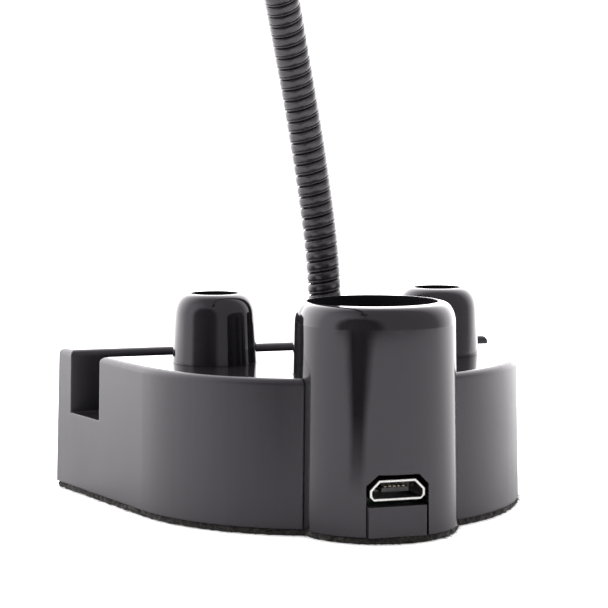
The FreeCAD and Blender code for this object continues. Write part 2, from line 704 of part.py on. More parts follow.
def arm_joints():
    """The places where the arm bends, from the base to the lamp."""
    spots = [Vector(0, 0, at.arm_root_z.number)]
    for number in range(1, len(ARM_COURSE)):
        spots.append(spots[-1] + stretch_frame(number)[2] * at.arm_step.number)
    return spots


def lay_along(thing, number):
    """Stands a piece drawn along +Z on one stretch of the arm."""
    across, upward, along = stretch_frame(number)
    thing.Placement = FreeCAD.Placement(arm_joints()[number - 1],
                                        FreeCAD.Rotation(across, upward, along, "ZXY"))


def coil_outline(low, high):
    bevel = at.end_chamfer
    outer = at.coil_radius
    return [(at.coil_bore, low), (outer - bevel, low), (outer, low + bevel),
            (outer, high - bevel), (outer - bevel, high), (at.coil_bore, high)]


def make_arm():
    root = new_body("arm_coil_root")
    lathe(root, coil_outline(at.coil_foot_z, at.arm_root_z - at.half_gap))
    lead_foot = at.board_z + at.board_thick + at.solder_gap + at.terminal_high + 0.1
    as_part(cylinder("arm_lead_root", at.lead_radius,
                     at.arm_root_z - at.half_gap - lead_foot, 0.0, 0.0, lead_foot))
    last = len(ARM_COURSE)
    for number in range(1, last + 1):
        name = "tip" if number == last else str(number)
        end = at.ferrule_bore - 0.2 if number == last else at.arm_step - at.half_gap
        coil = new_body("arm_coil_" + name)
        lathe(coil, coil_outline(at.half_gap, end))
        lay_along(coil, number)
        lead = cylinder("arm_lead_" + name, at.lead_radius, end - at.half_gap)
        for letter in "xyz":
            lead.setExpression("Placement.Base." + letter, None)
        along = stretch_frame(number)[2]
        lay_along(lead, number)
        lead.Placement.Base = lead.Placement.Base + along * at.half_gap.number
        as_part(lead)


# ---------------------------------------------------------------- lamp
def make_lamp(last):
    ferrule = new_body("arm_ferrule")
    start = at.ferrule_start
    end = start + at.ferrule_long
    lathe(ferrule, [(at.coil_radius + 0.05, start), (at.ferrule_radius - 0.5, start),
                    (at.ferrule_radius, start + 0.5), (at.ferrule_radius, end),
                    (at.rod_radius + 0.03, end), (at.rod_radius + 0.03, at.ferrule_bore),
                    (at.coil_radius + 0.05, at.ferrule_bore)])
    side_bore = new_sketch(ferrule, offset=end)
    add_circle(side_bore, -at.lead_offset, 0.0, at.thin_lead + 0.08)
    cut_pocket(ferrule, side_bore, end - at.ferrule_bore + 0.3, upward=False)
    grub_hole = new_sketch(ferrule, "XZ_Plane")
    add_circle(grub_hole, 0.0, at.rod_start + at.grub_along, at.grub_radius + 0.05)
    cut_pocket(ferrule, grub_hole, at.ferrule_radius + 1.0, upward=False)

    grub = new_body("ferrule_screw")
    shape = new_sketch(grub, "XZ_Plane", offset=-(at.rod_radius + 0.05))
    add_circle(shape, 0.0, at.rod_start + at.grub_along, at.grub_radius)
    add_pad(grub, shape, 1.6).Reversed = True
    key = new_sketch(grub, "XZ_Plane", offset=-(at.rod_radius + 1.65))
    add_outline(key, hexagon_corners(as_size(0.5), at.rod_start + at.grub_along))
    cut_pocket(grub, key, 0.8, upward=True)

    housing = new_body("lamp_housing")
    wall, radius, rear = at.lamp_wall, at.lamp_radius, at.lamp_start
    lathe(housing, [(at.ferrule_radius + 0.05, rear), (at.ferrule_radius + 1.3, rear),
                    (radius - 0.6, rear + 5.2), (radius, rear + 6.4), (radius, at.lamp_mouth),
                    (radius - wall, at.lamp_mouth), (radius - wall, rear + 6.6),
                    (at.ferrule_radius + 1.1, rear + 1.2), (at.ferrule_radius + 0.05, rear + 1.2)])
    board = new_body("lamp_board")
    board_z = at.lamp_board_z
    lathe(board, [(at.rod_radius + 0.1, board_z), (radius - wall - 0.05, board_z),
                  (radius - wall - 0.05, board_z + 0.8), (at.rod_radius + 0.1, board_z + 0.8)])
    window = new_body("lamp_window")
    lathe(window, [(at.rod_radius + 0.1, at.window_z), (radius - wall - 0.05, at.window_z),
                   (radius - wall - 0.05, at.window_z + at.window_thick),
                   (at.rod_radius + 0.1, at.window_z + at.window_thick)])
    rod = new_body("clip_rod")
    lathe(rod, [(0.0, at.rod_start), (at.rod_radius, at.rod_start),
                (at.rod_radius, at.rod_end), (0.0, at.rod_end)])
    for body in (ferrule, grub, housing, board, window, rod):
        lay_along(body, last)

    ring = at.led_ring.number
    emitters = []
    for i in range(4):
        emitter = doc.addObject("Part::Box", "lamp_led_%d" % i)
        for prop, number in (("Length", 2.2), ("Width", 2.2), ("Height", 0.8)):
            bind(emitter, prop, number)
        turned = FreeCAD.Rotation(Vector(0, 0, 1), 45 + 90 * i)
        spot = turned.multVec(Vector(ring - 1.1, -1.1, board_z.number + 0.85))
        emitter.Placement = FreeCAD.Placement(spot, turned)
        emitters.append(emitter)
    lay_along(group("lamp_leds", emitters), last)
    tail = doc.addObject("Part::Cylinder", "lamp_lead_end")
    bind(tail, "Radius", at.thin_lead)
    bind(tail, "Height", board_z - at.ferrule_bore + 0.1)
    tail.Placement.Base = Vector(-at.lead_offset.number, 0, at.ferrule_bore.number - 0.15)
    lay_along(group("lamp_lead", [tail]), last)


# ---------------------------------------------------------------- crocodile clip
def teeth(first_z, last_z, root_y, tip_y, shift):
    """A row of saw teeth along a jaw, as (up, along) corners."""
    row = []
    pitch = at.tooth_pitch.number
    z = first_z.number + shift * pitch
    while z + pitch < last_z.number:
        row.append((root_y, z))
        row.append((tip_y, z + pitch * 0.5))
        z += pitch
    row.append((root_y, z))
    return row


def taper_jaw(body, half, tip_half, from_z):
    """Narrows a jaw towards its tip, as seen from above."""
    for side in (-1, 1):
        wedge = new_sketch(body, "XZ_Plane", offset=-12.0)
        add_outline(wedge, [(half * side, from_z), (half * side * 1.3, from_z),
                            (half * side * 1.3, at.jaw_tip + 1.0), (tip_half * side, at.jaw_tip + 1.0)])
        cut_pocket(body, wedge, 24.0, upward=True)


def hollow_jaw(body, near_half, far_half, near_z, far_z, floor_y, depth, opens_up):
    """Cuts the channel between a jaw's two folded sides."""
    channel = new_sketch(body, "XZ_Plane", offset=-floor_y)
    add_outline(channel, [(-near_half, near_z), (near_half, near_z),
                          (far_half, far_z), (-far_half, far_z)])
    cut_pocket(body, channel, depth, upward=not opens_up)


def drill_pivot(body, radius):
    hole = new_sketch(body, "YZ_Plane", offset=-6.0)
    add_circle(hole, at.pivot_y, at.pivot_z, radius)
    cut_pocket(body, hole, 12.0, upward=True)


def make_clip(last):
    bite = at.bite_gap
    tip, start = at.jaw_tip, at.teeth_start
    floor = -at.jaw_deep
    pivot_y, pivot_z = at.pivot_y, at.pivot_z

    lower = new_body("clip_lower_jaw")
    lathe(lower, [(at.rod_radius + 0.05, at.clip_start), (at.barrel_radius, at.clip_start),
                  (at.barrel_radius, at.clip_start + at.barrel_long),
                  (at.rod_radius + 0.05, at.clip_start + at.barrel_long)])
    side = new_sketch(lower, "YZ_Plane", offset=-at.jaw_half)
    outline = [(-at.rod_radius - 0.15, at.neck_start), (floor, pivot_z - 6.0), (floor, tip - 4.5),
               (floor + 1.2, tip), (-bite - 0.1, tip)]
    outline += list(reversed(teeth(start, tip - 0.2, -bite - at.tooth_deep, -bite, 0.0)))
    outline += [(-bite - at.tooth_deep, start - 0.8), (pivot_y + 1.5, pivot_z + 1.6),
                (pivot_y + 1.5, pivot_z - 1.6), (-0.6, pivot_z - 5.0), (-0.9, at.neck_start)]
    add_outline(side, outline)
    add_pad(lower, side, at.jaw_half * 2)
    taper_jaw(lower, at.jaw_half, at.tip_half, start)
    inner = at.jaw_half - at.jaw_sheet
    bed = floor + at.jaw_sheet
    hollow_jaw(lower, inner, inner, pivot_z - 5.6, start + 0.01, bed, 8.0, opens_up=True)
    hollow_jaw(lower, inner, at.tip_half - at.jaw_sheet + 0.2, start, tip - 4.6, bed, 8.0,
               opens_up=True)
    drill_pivot(lower, at.pin_radius + 0.03)

    upper = new_body("clip_upper_jaw")
    side = new_sketch(upper, "YZ_Plane", offset=-at.upper_half)
    high = at.upper_high
    outline = [(high + 0.1, pivot_z - 2.0), (high + 0.1, pivot_z + 3.0), (high, pivot_z + 6.0),
               (high - 1.3, tip), (bite + 0.1, tip)]
    outline += list(reversed(teeth(start, tip - 0.2, bite + at.tooth_deep, bite, 0.5)))
    outline += [(bite + at.tooth_deep, start - 0.6), (pivot_y - 1.9, pivot_z + 1.5),
                (pivot_y - 1.9, pivot_z - 1.3), (high - 0.5, pivot_z - 3.2),
                (at.tail_under, pivot_z - at.tail_back),
                (at.tail_over, pivot_z - at.tail_back - 0.2), (high + 0.6, pivot_z - 3.4)]
    add_outline(side, outline)
    add_pad(upper, side, at.upper_half * 2)
    taper_jaw(upper, at.upper_half, at.upper_tip_half, start)
    inner = at.upper_half - at.jaw_sheet
    hollow_jaw(upper, inner, inner, pivot_z - 3.4, pivot_z + 6.0, high - 0.5, 8.0, opens_up=False)
    hollow_jaw(upper, inner, at.upper_tip_half - at.jaw_sheet, pivot_z + 5.9, tip - 2.0,
               high - 1.6, 4.0, opens_up=False)
    drill_pivot(upper, at.pin_radius + 0.06)

    pin = new_body("clip_pin")
    shank = new_sketch(pin, "YZ_Plane", offset=-at.jaw_half - 0.6)
    add_circle(shank, pivot_y, pivot_z, at.pin_radius)
    add_pad(pin, shank, at.jaw_half * 2 + 1.2)
    for offset in (-at.jaw_half - 0.6, at.jaw_half + 0.05):
        head = new_sketch(pin, "YZ_Plane", offset=offset)
        add_circle(head, pivot_y, pivot_z, 1.15)
        add_pad(pin, head, 0.55)
    for body in (lower, upper, pin):
        lay_along(body, last)

    turns = []
    for i in range(5):
        turn_of_wire = doc.addObject("Part::Torus", "spring_turn_%d" % i)
        bind(turn_of_wire, "Radius1", at.spring_radius)
        bind(turn_of_wire, "Radius2", at.wire_radius)
        turn_of_wire.Placement = FreeCAD.Placement(
            Vector((i - 2) * 0.5, pivot_y.number, pivot_z.number),
            FreeCAD.Rotation(Vector(0, 1, 0), 90))
        turns.append(turn_of_wire)
    for name, x, foot, top in (("upper", 1.0, Vector(0, 1.3, 48.7), Vector(0, 3.1, 44.1)),
                               ("lower", -1.0, Vector(0, 0.5, 48.75), Vector(0, -1.5, 44.9))):
        leg = doc.addObject("Part::Cylinder", "spring_leg_" + name)
        bind(leg, "Radius", at.wire_radius)
        bind(leg, "Height", (top - foot).Length)
        leg.Placement = FreeCAD.Placement(foot + Vector(x, 0, 0),
                                          FreeCAD.Rotation(Vector(0, 0, 1), top - foot))
        turns.append(leg)
    spring = doc.addObject("Part::MultiFuse", "clip_spring")
    spring.Shapes = turns
    lay_along(as_part(spring), last)


# ---------------------------------------------------------------- build and write
make_base_shell()
make_tool_cup()
make_post("post_left", -1)
make_post("post_right", 1)
make_post_fixings()
make_cover()
make_cover_screws()
make_felt()
make_ballast()
make_board()
make_power_socket()
make_bushing()
make_arm()
make_lamp(len(ARM_COURSE))
make_clip(len(ARM_COURSE))
doc.recompute()

for item in doc.Objects:
    if "Invalid" in item.State or "Error" in item.State:
        raise RuntimeError("%s failed: %s" % (item.Name, item.State))
os.makedirs("parts", exist_ok=True)
for part in parts:
    shape = part.Shape
    if shape.isNull() or not shape.isValid():
        raise RuntimeError("%s has no sound shape" % part.Label)
    shape.exportStep("parts/%s.step" % part.Label)
    print(part.Label, len(shape.Solids), "solids", round(shape.Volume, 1), "mm3")
for spot in arm_joints():
    print("arm bends at", [round(value, 2) for value in spot])
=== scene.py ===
# %% [markdown]
# # A bench helping hand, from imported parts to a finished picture
#
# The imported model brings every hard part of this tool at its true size: the flared base, the
# tool cup, the two sockets, the lamp and the clip. This lesson adds what a design program
# leaves out: plastic that looks moulded, felt with a frayed edge, and the wound steel strip
# of the flexible arm. Everything is in metres and in the model's own frame.

import json
import math
import random

import bmesh
import bpy
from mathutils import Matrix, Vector, noise


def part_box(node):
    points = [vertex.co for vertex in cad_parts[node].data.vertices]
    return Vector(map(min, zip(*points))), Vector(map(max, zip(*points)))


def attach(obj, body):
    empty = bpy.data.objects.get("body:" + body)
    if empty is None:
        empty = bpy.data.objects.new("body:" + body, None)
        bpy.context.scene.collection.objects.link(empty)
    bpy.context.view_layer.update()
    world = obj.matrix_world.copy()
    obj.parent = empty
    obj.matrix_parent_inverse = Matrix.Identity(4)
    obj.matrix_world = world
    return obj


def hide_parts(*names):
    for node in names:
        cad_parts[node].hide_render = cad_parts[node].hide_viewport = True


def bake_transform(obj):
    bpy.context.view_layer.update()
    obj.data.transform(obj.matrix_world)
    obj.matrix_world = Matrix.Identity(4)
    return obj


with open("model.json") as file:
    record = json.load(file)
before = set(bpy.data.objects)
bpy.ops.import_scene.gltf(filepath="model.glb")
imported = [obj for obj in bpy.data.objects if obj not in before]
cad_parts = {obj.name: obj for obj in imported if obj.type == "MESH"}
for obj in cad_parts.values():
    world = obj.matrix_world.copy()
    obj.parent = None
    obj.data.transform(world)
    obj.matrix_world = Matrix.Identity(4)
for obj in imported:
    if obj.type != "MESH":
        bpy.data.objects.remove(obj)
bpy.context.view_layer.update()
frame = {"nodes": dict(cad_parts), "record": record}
MM = 0.001
nodes = frame["nodes"]

# %% [markdown]
# ## The camera and the white studio
#
# The tool is seen from a little above the bench and a little left of its front, with a long
# lens, so its upright edges stay upright. A long lens is set by its focal length; moving the
# camera closer would bend the shape instead.

# %% Camera
camera_data = bpy.data.cameras.new("bench_camera")
camera_data.sensor_width = 36.0
camera_data.lens = 128.5
camera_data.clip_start = 0.01
camera_data.clip_end = 20.0
camera = bpy.data.objects.new("bench_camera", camera_data)
bpy.context.collection.objects.link(camera)
camera.location = Vector((-98.44, -297.7, 57.7)) * MM
camera_heading = Vector((0.3033, 0.9485, -0.0913))
camera.rotation_mode = "QUATERNION"
camera.rotation_quaternion = camera_heading.to_track_quat("-Z", "Y")
bpy.context.scene.camera = camera
bpy.context.scene.view_settings.view_transform = "Standard"
print("camera looks along", [round(c, 3) for c in camera_heading])

# %% [markdown]
# Glossy black plastic shows its surroundings more than its own colour, so the studio matters
# as much as the material. A white room all round gives pale edges; one dark gap beside the
# camera gives the soft dark bands that make a round wall read as round. The world shader is
# the cheapest way to make such a room: it has no noise and no walls to hide.

# %% Small tools for building node trees
def link(tree, source, target):
    """Joins an output to an input; a plain number or colour is set as the value instead."""
    if isinstance(source, (int, float, tuple, list)):
        target.default_value = source
    else:
        tree.links.new(source, target)


def maths(tree, operation, first, second=0.5, clamp=False):
    node = tree.nodes.new("ShaderNodeMath")
    node.operation = operation
    node.use_clamp = clamp
    link(tree, first, node.inputs[0])
    link(tree, second, node.inputs[1])
    return node.outputs[0]


def remap(tree, value, low, high, new_low=0.0, new_high=1.0):
    node = tree.nodes.new("ShaderNodeMapRange")
    for socket, amount in zip(node.inputs, (value, low, high, new_low, new_high)):
        link(tree, amount, socket)
    return node.outputs[0]


def colour_mix(tree, factor, first, second, blend="MIX"):
    node = tree.nodes.new("ShaderNodeMix")
    node.data_type = "RGBA"
    node.blend_type = blend
    link(tree, factor, node.inputs[0])
    link(tree, first, node.inputs[6])
    link(tree, second, node.inputs[7])
    return node.outputs[2]


def along(tree, direction, axis):
    """How far a direction points along an axis, from -1 to 1."""
    node = tree.nodes.new("ShaderNodeVectorMath")
    node.operation = "DOT_PRODUCT"
    link(tree, direction, node.inputs[0])
    node.inputs[1].default_value = Vector(axis).normalized()
    return node.outputs["Value"]


print("node helpers ready")

# %% The white room
DOOR_WAY, BACK_WALL, LEFT_WALL = (-0.697, -0.717, 0.0), (0.25, 1.0, 0.1), (-1.0, 0.12, 0.1)
ROOM_TINT, SEEN_WHITE, DOOR_DARK = (1.0, 0.985, 0.995, 1.0), 1.05, 0.12
world = bpy.data.worlds.new("white_room")
bpy.context.scene.world = world
world.use_nodes = True
room = world.node_tree
room.nodes.clear()
towards = room.nodes.new("ShaderNodeTexCoord").outputs["Generated"]
back_wall = remap(room, along(room, towards, BACK_WALL), 0.05, 0.85, 0.74, 4.6)
left_wall = remap(room, along(room, towards, LEFT_WALL), 0.5, 0.95, 0.0, 1.32)
doorway = remap(room, along(room, towards, DOOR_WAY), 0.76, 0.88)
lintel = remap(room, along(room, towards, (0.0, 0.0, 1.0)), 0.48, 0.62, 1.0, 0.0)
gap = maths(room, "MULTIPLY", doorway, lintel)
light = maths(room, "ADD", back_wall, left_wall)
light = maths(room, "MULTIPLY", light, remap(room, gap, 0.0, 1.0, 1.0, DOOR_DARK))
reflected = room.nodes.new("ShaderNodeBackground")
link(room, light, reflected.inputs["Strength"])
reflected.inputs["Color"].default_value = ROOM_TINT
seen = room.nodes.new("ShaderNodeBackground")
seen.inputs["Color"].default_value = (1.0, 1.0, 1.0, 1.0)
seen.inputs["Strength"].default_value = SEEN_WHITE
chooser = room.nodes.new("ShaderNodeMixShader")
link(room, room.nodes.new("ShaderNodeLightPath").outputs["Is Camera Ray"], chooser.inputs[0])
link(room, reflected.outputs[0], chooser.inputs[1])
link(room, seen.outputs[0], chooser.inputs[2])
link(room, chooser.outputs[0], room.nodes.new("ShaderNodeOutputWorld").inputs["Surface"])
print("room nodes:", len(room.nodes))

# %% [markdown]
# The bench is a round white disc. In a real studio it is flooded with light from behind, so it
# stays white right up to the felt, and its far side is the brighter one in reflections. A glow
# in the disc's own material does both: a steady one for what is seen directly, and one that
# grows towards the back for what the black plastic reflects.

# %% Bench top
BENCH_RADIUS, BENCH_DROP = 0.42, 0.00005
PAPER_WHITE, STEADY_GLOW, BACK_GLOW = 0.86, 0.5, 2.2
BACKWARD, GLOW_REACH = (0.3, 0.95, 0.0), 0.35
bench_mesh = bpy.data.meshes.new("bench_top")
shape = bmesh.new()
bmesh.ops.create_circle(shape, cap_ends=True, segments=96, radius=BENCH_RADIUS)
shape.to_mesh(bench_mesh)
shape.free()
bench = bpy.data.objects.new("bench_top", bench_mesh)
bpy.context.collection.objects.link(bench)
bench.location.z = -BENCH_DROP
white = bpy.data.materials.new("bench_white")
white.use_nodes = True
paper = white.node_tree.nodes["Principled BSDF"]
paper.inputs["Base Color"].default_value = (PAPER_WHITE, PAPER_WHITE, PAPER_WHITE, 1.0)
paper.inputs["Roughness"].default_value = 0.9
paper.inputs["Specular IOR Level"].default_value = 0.0
paper.inputs["Emission Color"].default_value = (1.0, 1.0, 1.0, 1.0)
seen_directly = white.node_tree.nodes.new("ShaderNodeLightPath").outputs["Is Camera Ray"]
bench_place = white.node_tree.nodes.new("ShaderNodeTexCoord").outputs["Object"]
backward = white.node_tree.nodes.new("ShaderNodeVectorMath")
backward.operation = "DOT_PRODUCT"
link(white.node_tree, bench_place, backward.inputs[0])
backward.inputs[1].default_value = BACKWARD
back_glow = remap(white.node_tree, backward.outputs["Value"], 0.0, GLOW_REACH, 0.0, BACK_GLOW)
steady_glow = maths(white.node_tree, "MULTIPLY", seen_directly, STEADY_GLOW)
link(white.node_tree, maths(white.node_tree, "MAXIMUM", back_glow, steady_glow),
     paper.inputs["Emission Strength"])
bench_mesh.materials.append(white)
print("bench radius", BENCH_RADIUS, "m")

# %% [markdown]
# Three large soft lamps stand above, left and right. They light the walls and the arm, and
# they are hidden from reflections, because a bright square in a glossy cup gives them away.

# %% Soft lamps
LAMP_AIM = Vector((0.0, 0.0, 0.02))


def soft_lamp(name, place, size, power):
    data = bpy.data.lights.new(name, "AREA")
    data.shape = "RECTANGLE"
    data.size, data.size_y = size
    data.energy = power
    lamp = bpy.data.objects.new(name, data)
    bpy.context.collection.objects.link(lamp)
    lamp.location = place
    lamp.visible_glossy = False
    lamp.rotation_mode = "QUATERNION"
    lamp.rotation_quaternion = (LAMP_AIM - Vector(place)).to_track_quat("-Z", "Y")


soft_lamp("overhead_panel", (0.05, 0.1, 0.7), (0.6, 0.5), 1.6)
soft_lamp("left_panel", (-0.7, 0.15, 0.3), (0.35, 0.6), 1.35)
soft_lamp("right_panel", (0.75, 0.1, 0.25), (0.3, 0.5), 1.2)
print("soft lamps:", len(bpy.data.lights))

# %% [markdown]
# The doorway's dark band runs on down the cup's wall, because the bench in front of a doorway
# is dark too. A black card flat on the bench gives that band. It shows only in reflections,
# and it fades out at its sides and towards the cup by an amount stored on its corners.

# %% The doorway's shadow on the bench
CARD_CENTRE = Vector((0.0, -22.0, 0.4))
# distance from the cup, half width, and how black the shadow is there
SHADOW_ROWS = [(56, 7, 0.0), (72, 10, 0.35), (95, 14, 0.6), (134, 20, 0.85), (165, 28, 1.0),
               (190, 36, 1.0), (270, 64, 1.0), (415, 135, 1.0)]
# across the card: share of the half width, and how black
SHADOW_SIDES = [(-1.6, 0.0), (-0.6, 1.0), (0.6, 1.0), (1.6, 0.0)]
door_way = Vector(DOOR_WAY).normalized()
door_side = Vector((-door_way.y, door_way.x, 0.0))
shadow_card = bpy.data.meshes.new("doorway_shadow")
shape = bmesh.new()
cover_layer = shape.verts.layers.float.new("cover")
shadow_rows = []
for far, wide, strength in SHADOW_ROWS:
    row = []
    for side_share, cover in SHADOW_SIDES:
        spot = door_way * far + door_side * wide * side_share + CARD_CENTRE
        corner = shape.verts.new(spot * MM)
        corner[cover_layer] = cover * strength
        row.append(corner)
    shadow_rows.append(row)
for near, far in zip(shadow_rows, shadow_rows[1:]):
    for k in range(len(SHADOW_SIDES) - 1):
        shape.faces.new((near[k], near[k + 1], far[k + 1], far[k]))
shape.to_mesh(shadow_card)
shape.free()
card = bpy.data.objects.new("doorway_shadow", shadow_card)
bpy.context.collection.objects.link(card)
card.visible_camera = False
card.visible_diffuse = False
card.visible_shadow = False
# The card is painted shadow: a black sheet, seen only in reflections, for the dark bench by the
# doorway.
black = bpy.data.materials.new("doorway_black")
black.use_nodes = True
painted_shadow_shader = black.node_tree.nodes["Principled BSDF"]
painted_shadow_shader.inputs["Base Color"].default_value = (0.0, 0.0, 0.0, 1.0)
painted_shadow_shader.inputs["Specular IOR Level"].default_value = 0.0
cover_given = black.node_tree.nodes.new("ShaderNodeAttribute")
cover_given.attribute_name = "cover"
link(black.node_tree, cover_given.outputs["Fac"], painted_shadow_shader.inputs["Alpha"])
shadow_card.materials.append(black)
print("doorway shadow corners:", len(shadow_card.vertices))

# %% [markdown]
# ## Shared surface effects
#
# Several finishes share the same small faults: fine grain from the mould, streaks where the
# tool was drawn, dust that settles on top, and paler edges, partly rubbed and partly a painted
# highlight. Each is a node group with named inputs, so a material only has to choose amounts.

# %% A helper that opens a new node group
VALUE = "NodeSocketFloat"


def new_group(name, inputs, outputs):
    """Makes a node group; inputs are (name, default) and outputs are (name, kind)."""
    group = bpy.data.node_groups.new(name, "ShaderNodeTree")
    for label, default in inputs:
        socket = group.interface.new_socket(name=label, in_out="INPUT", socket_type=VALUE)
        socket.default_value = default
    for label, kind in outputs:
        group.interface.new_socket(name=label, in_out="OUTPUT", socket_type=kind)
    entry = group.nodes.new("NodeGroupInput")
    leave = group.nodes.new("NodeGroupOutput")
    return group, entry.outputs, leave.inputs


def texture(tree, kind, scale, stretch=(1.0, 1.0, 1.0), detail=2.0):
    """A procedural texture in the part's own metres, stretched along its axes."""
    place = tree.nodes.new("ShaderNodeTexCoord").outputs["Object"]
    mapping = tree.nodes.new("ShaderNodeMapping")
    mapping.inputs["Scale"].default_value = stretch
    link(tree, place, mapping.inputs["Vector"])
    pattern = tree.nodes.new(kind)
    link(tree, mapping.outputs[0], pattern.inputs["Vector"])
    link(tree, scale, pattern.inputs["Scale"])
    if "Detail" in pattern.inputs:
        pattern.inputs["Detail"].default_value = detail
    return pattern


print("group helper ready")

# %% Fine grain, drawn streaks, settled dust, and rubbed edges with a painted highlight
grain, given, gives = new_group("fine_grain", [("Scale", 2500.0), ("Contrast", 1.0)],
                                [("Grain", VALUE)])
speck = texture(grain, "ShaderNodeTexNoise", given["Scale"], detail=3.0).outputs["Fac"]
spread = maths(grain, "MULTIPLY", maths(grain, "SUBTRACT", speck, 0.5), given["Contrast"])
link(grain, maths(grain, "ADD", spread, 0.5, clamp=True), gives["Grain"])

streaks, given, gives = new_group("drawn_streaks", [("Scale", 900.0), ("Contrast", 1.6)],
                                  [("Streak", VALUE)])
line = texture(streaks, "ShaderNodeTexNoise", given["Scale"], (1.0, 1.0, 0.03), 3.0).outputs["Fac"]
patch = texture(streaks, "ShaderNodeTexNoise", 60.0, (1.0, 1.0, 0.4), 2.0).outputs["Fac"]
both = maths(streaks, "ADD", maths(streaks, "MULTIPLY", line, 0.7),
             maths(streaks, "MULTIPLY", patch, 0.3))
spread = maths(streaks, "MULTIPLY", maths(streaks, "SUBTRACT", both, 0.5), given["Contrast"])
link(streaks, maths(streaks, "ADD", spread, 0.5, clamp=True), gives["Streak"])

dust, given, gives = new_group("settled_dust", [("Amount", 0.3), ("Scale", 700.0)],
                               [("Dust", VALUE)])
upward = dust.nodes.new("ShaderNodeSeparateXYZ")
link(dust, dust.nodes.new("ShaderNodeNewGeometry").outputs["Normal"], upward.inputs[0])
flat = remap(dust, upward.outputs["Z"], 0.3, 0.95)
cell = texture(dust, "ShaderNodeTexVoronoi", given["Scale"])
mote = remap(dust, cell.outputs["Distance"], 0.05, 0.16, 1.0, 0.0)
cloud = texture(dust, "ShaderNodeTexNoise", 90.0, detail=4.0).outputs["Fac"]
chance = remap(dust, cloud, 0.45, 0.75)
everywhere = maths(dust, "ADD", maths(dust, "MULTIPLY", flat, 0.75), 0.12)
link(dust, maths(dust, "MULTIPLY", maths(dust, "MULTIPLY", mote, chance),
                 maths(dust, "MULTIPLY", everywhere, given["Amount"]), clamp=True), gives["Dust"])

smudge, given, gives = new_group("finger_smudge", [("Scale", 45.0)], [("Smudge", VALUE)])
broad = texture(smudge, "ShaderNodeTexNoise", given["Scale"], detail=4.0).outputs["Fac"]
link(smudge, remap(smudge, broad, 0.38, 0.68), gives["Smudge"])

tops, given, gives = new_group("level_top", [("Sharpness", 0.97)], [("Top", VALUE)])
facing_up = tops.nodes.new("ShaderNodeSeparateXYZ")
link(tops, tops.nodes.new("ShaderNodeNewGeometry").outputs["Normal"], facing_up.inputs[0])
link(tops, remap(tops, facing_up.outputs["Z"], given["Sharpness"], 0.998), gives["Top"])

# A mask for paler edges: partly rubbed wear and partly a painted highlight.
edges, given, gives = new_group("rubbed_edge_and_highlight", [("Width", 0.0006), ("Amount", 1.0)],
                                [("Edge", VALUE)])
rounded = edges.nodes.new("ShaderNodeBevel")
rounded.samples = 4
link(edges, given["Width"], rounded.inputs["Radius"])
facing = edges.nodes.new("ShaderNodeVectorMath")
facing.operation = "DOT_PRODUCT"
link(edges, rounded.outputs[0], facing.inputs[0])
link(edges, edges.nodes.new("ShaderNodeNewGeometry").outputs["Normal"], facing.inputs[1])
turned = remap(edges, facing.outputs["Value"], 0.995, 0.86)
broken = remap(edges, texture(edges, "ShaderNodeTexNoise", 1400.0, detail=3.0).outputs["Fac"],
               0.35, 0.65)
link(edges, maths(edges, "MULTIPLY", maths(edges, "MULTIPLY", turned, broken), given["Amount"],
                  clamp=True), gives["Edge"])
print("groups:", sorted(group.name for group in bpy.data.node_groups))

# %% [markdown]
# ## Finishes
#
# Each finish is one material with its own Principled shader. The helper below places the
# shared groups, mixes their masks into colour, roughness and bump, and leaves the numbers
# that are the same all over on the shader's own sockets.

# %% A material with grain, streaks, dust, smudges, and rubbed edges with a painted highlight
STREAK_SHARE, WEAR_HIGHLIGHT_PLASTIC, WEAR_HIGHLIGHT_METAL = 0.6, 0.16, 0.1
DUST_GREY, DUST_ROUGH = (0.42, 0.40, 0.38, 1.0), 0.4


def use_group(tree, group, output, **amounts):
    node = tree.nodes.new("ShaderNodeGroup")
    node.node_tree = group
    for name, amount in amounts.items():
        node.inputs[name].default_value = amount
    return node.outputs[output]


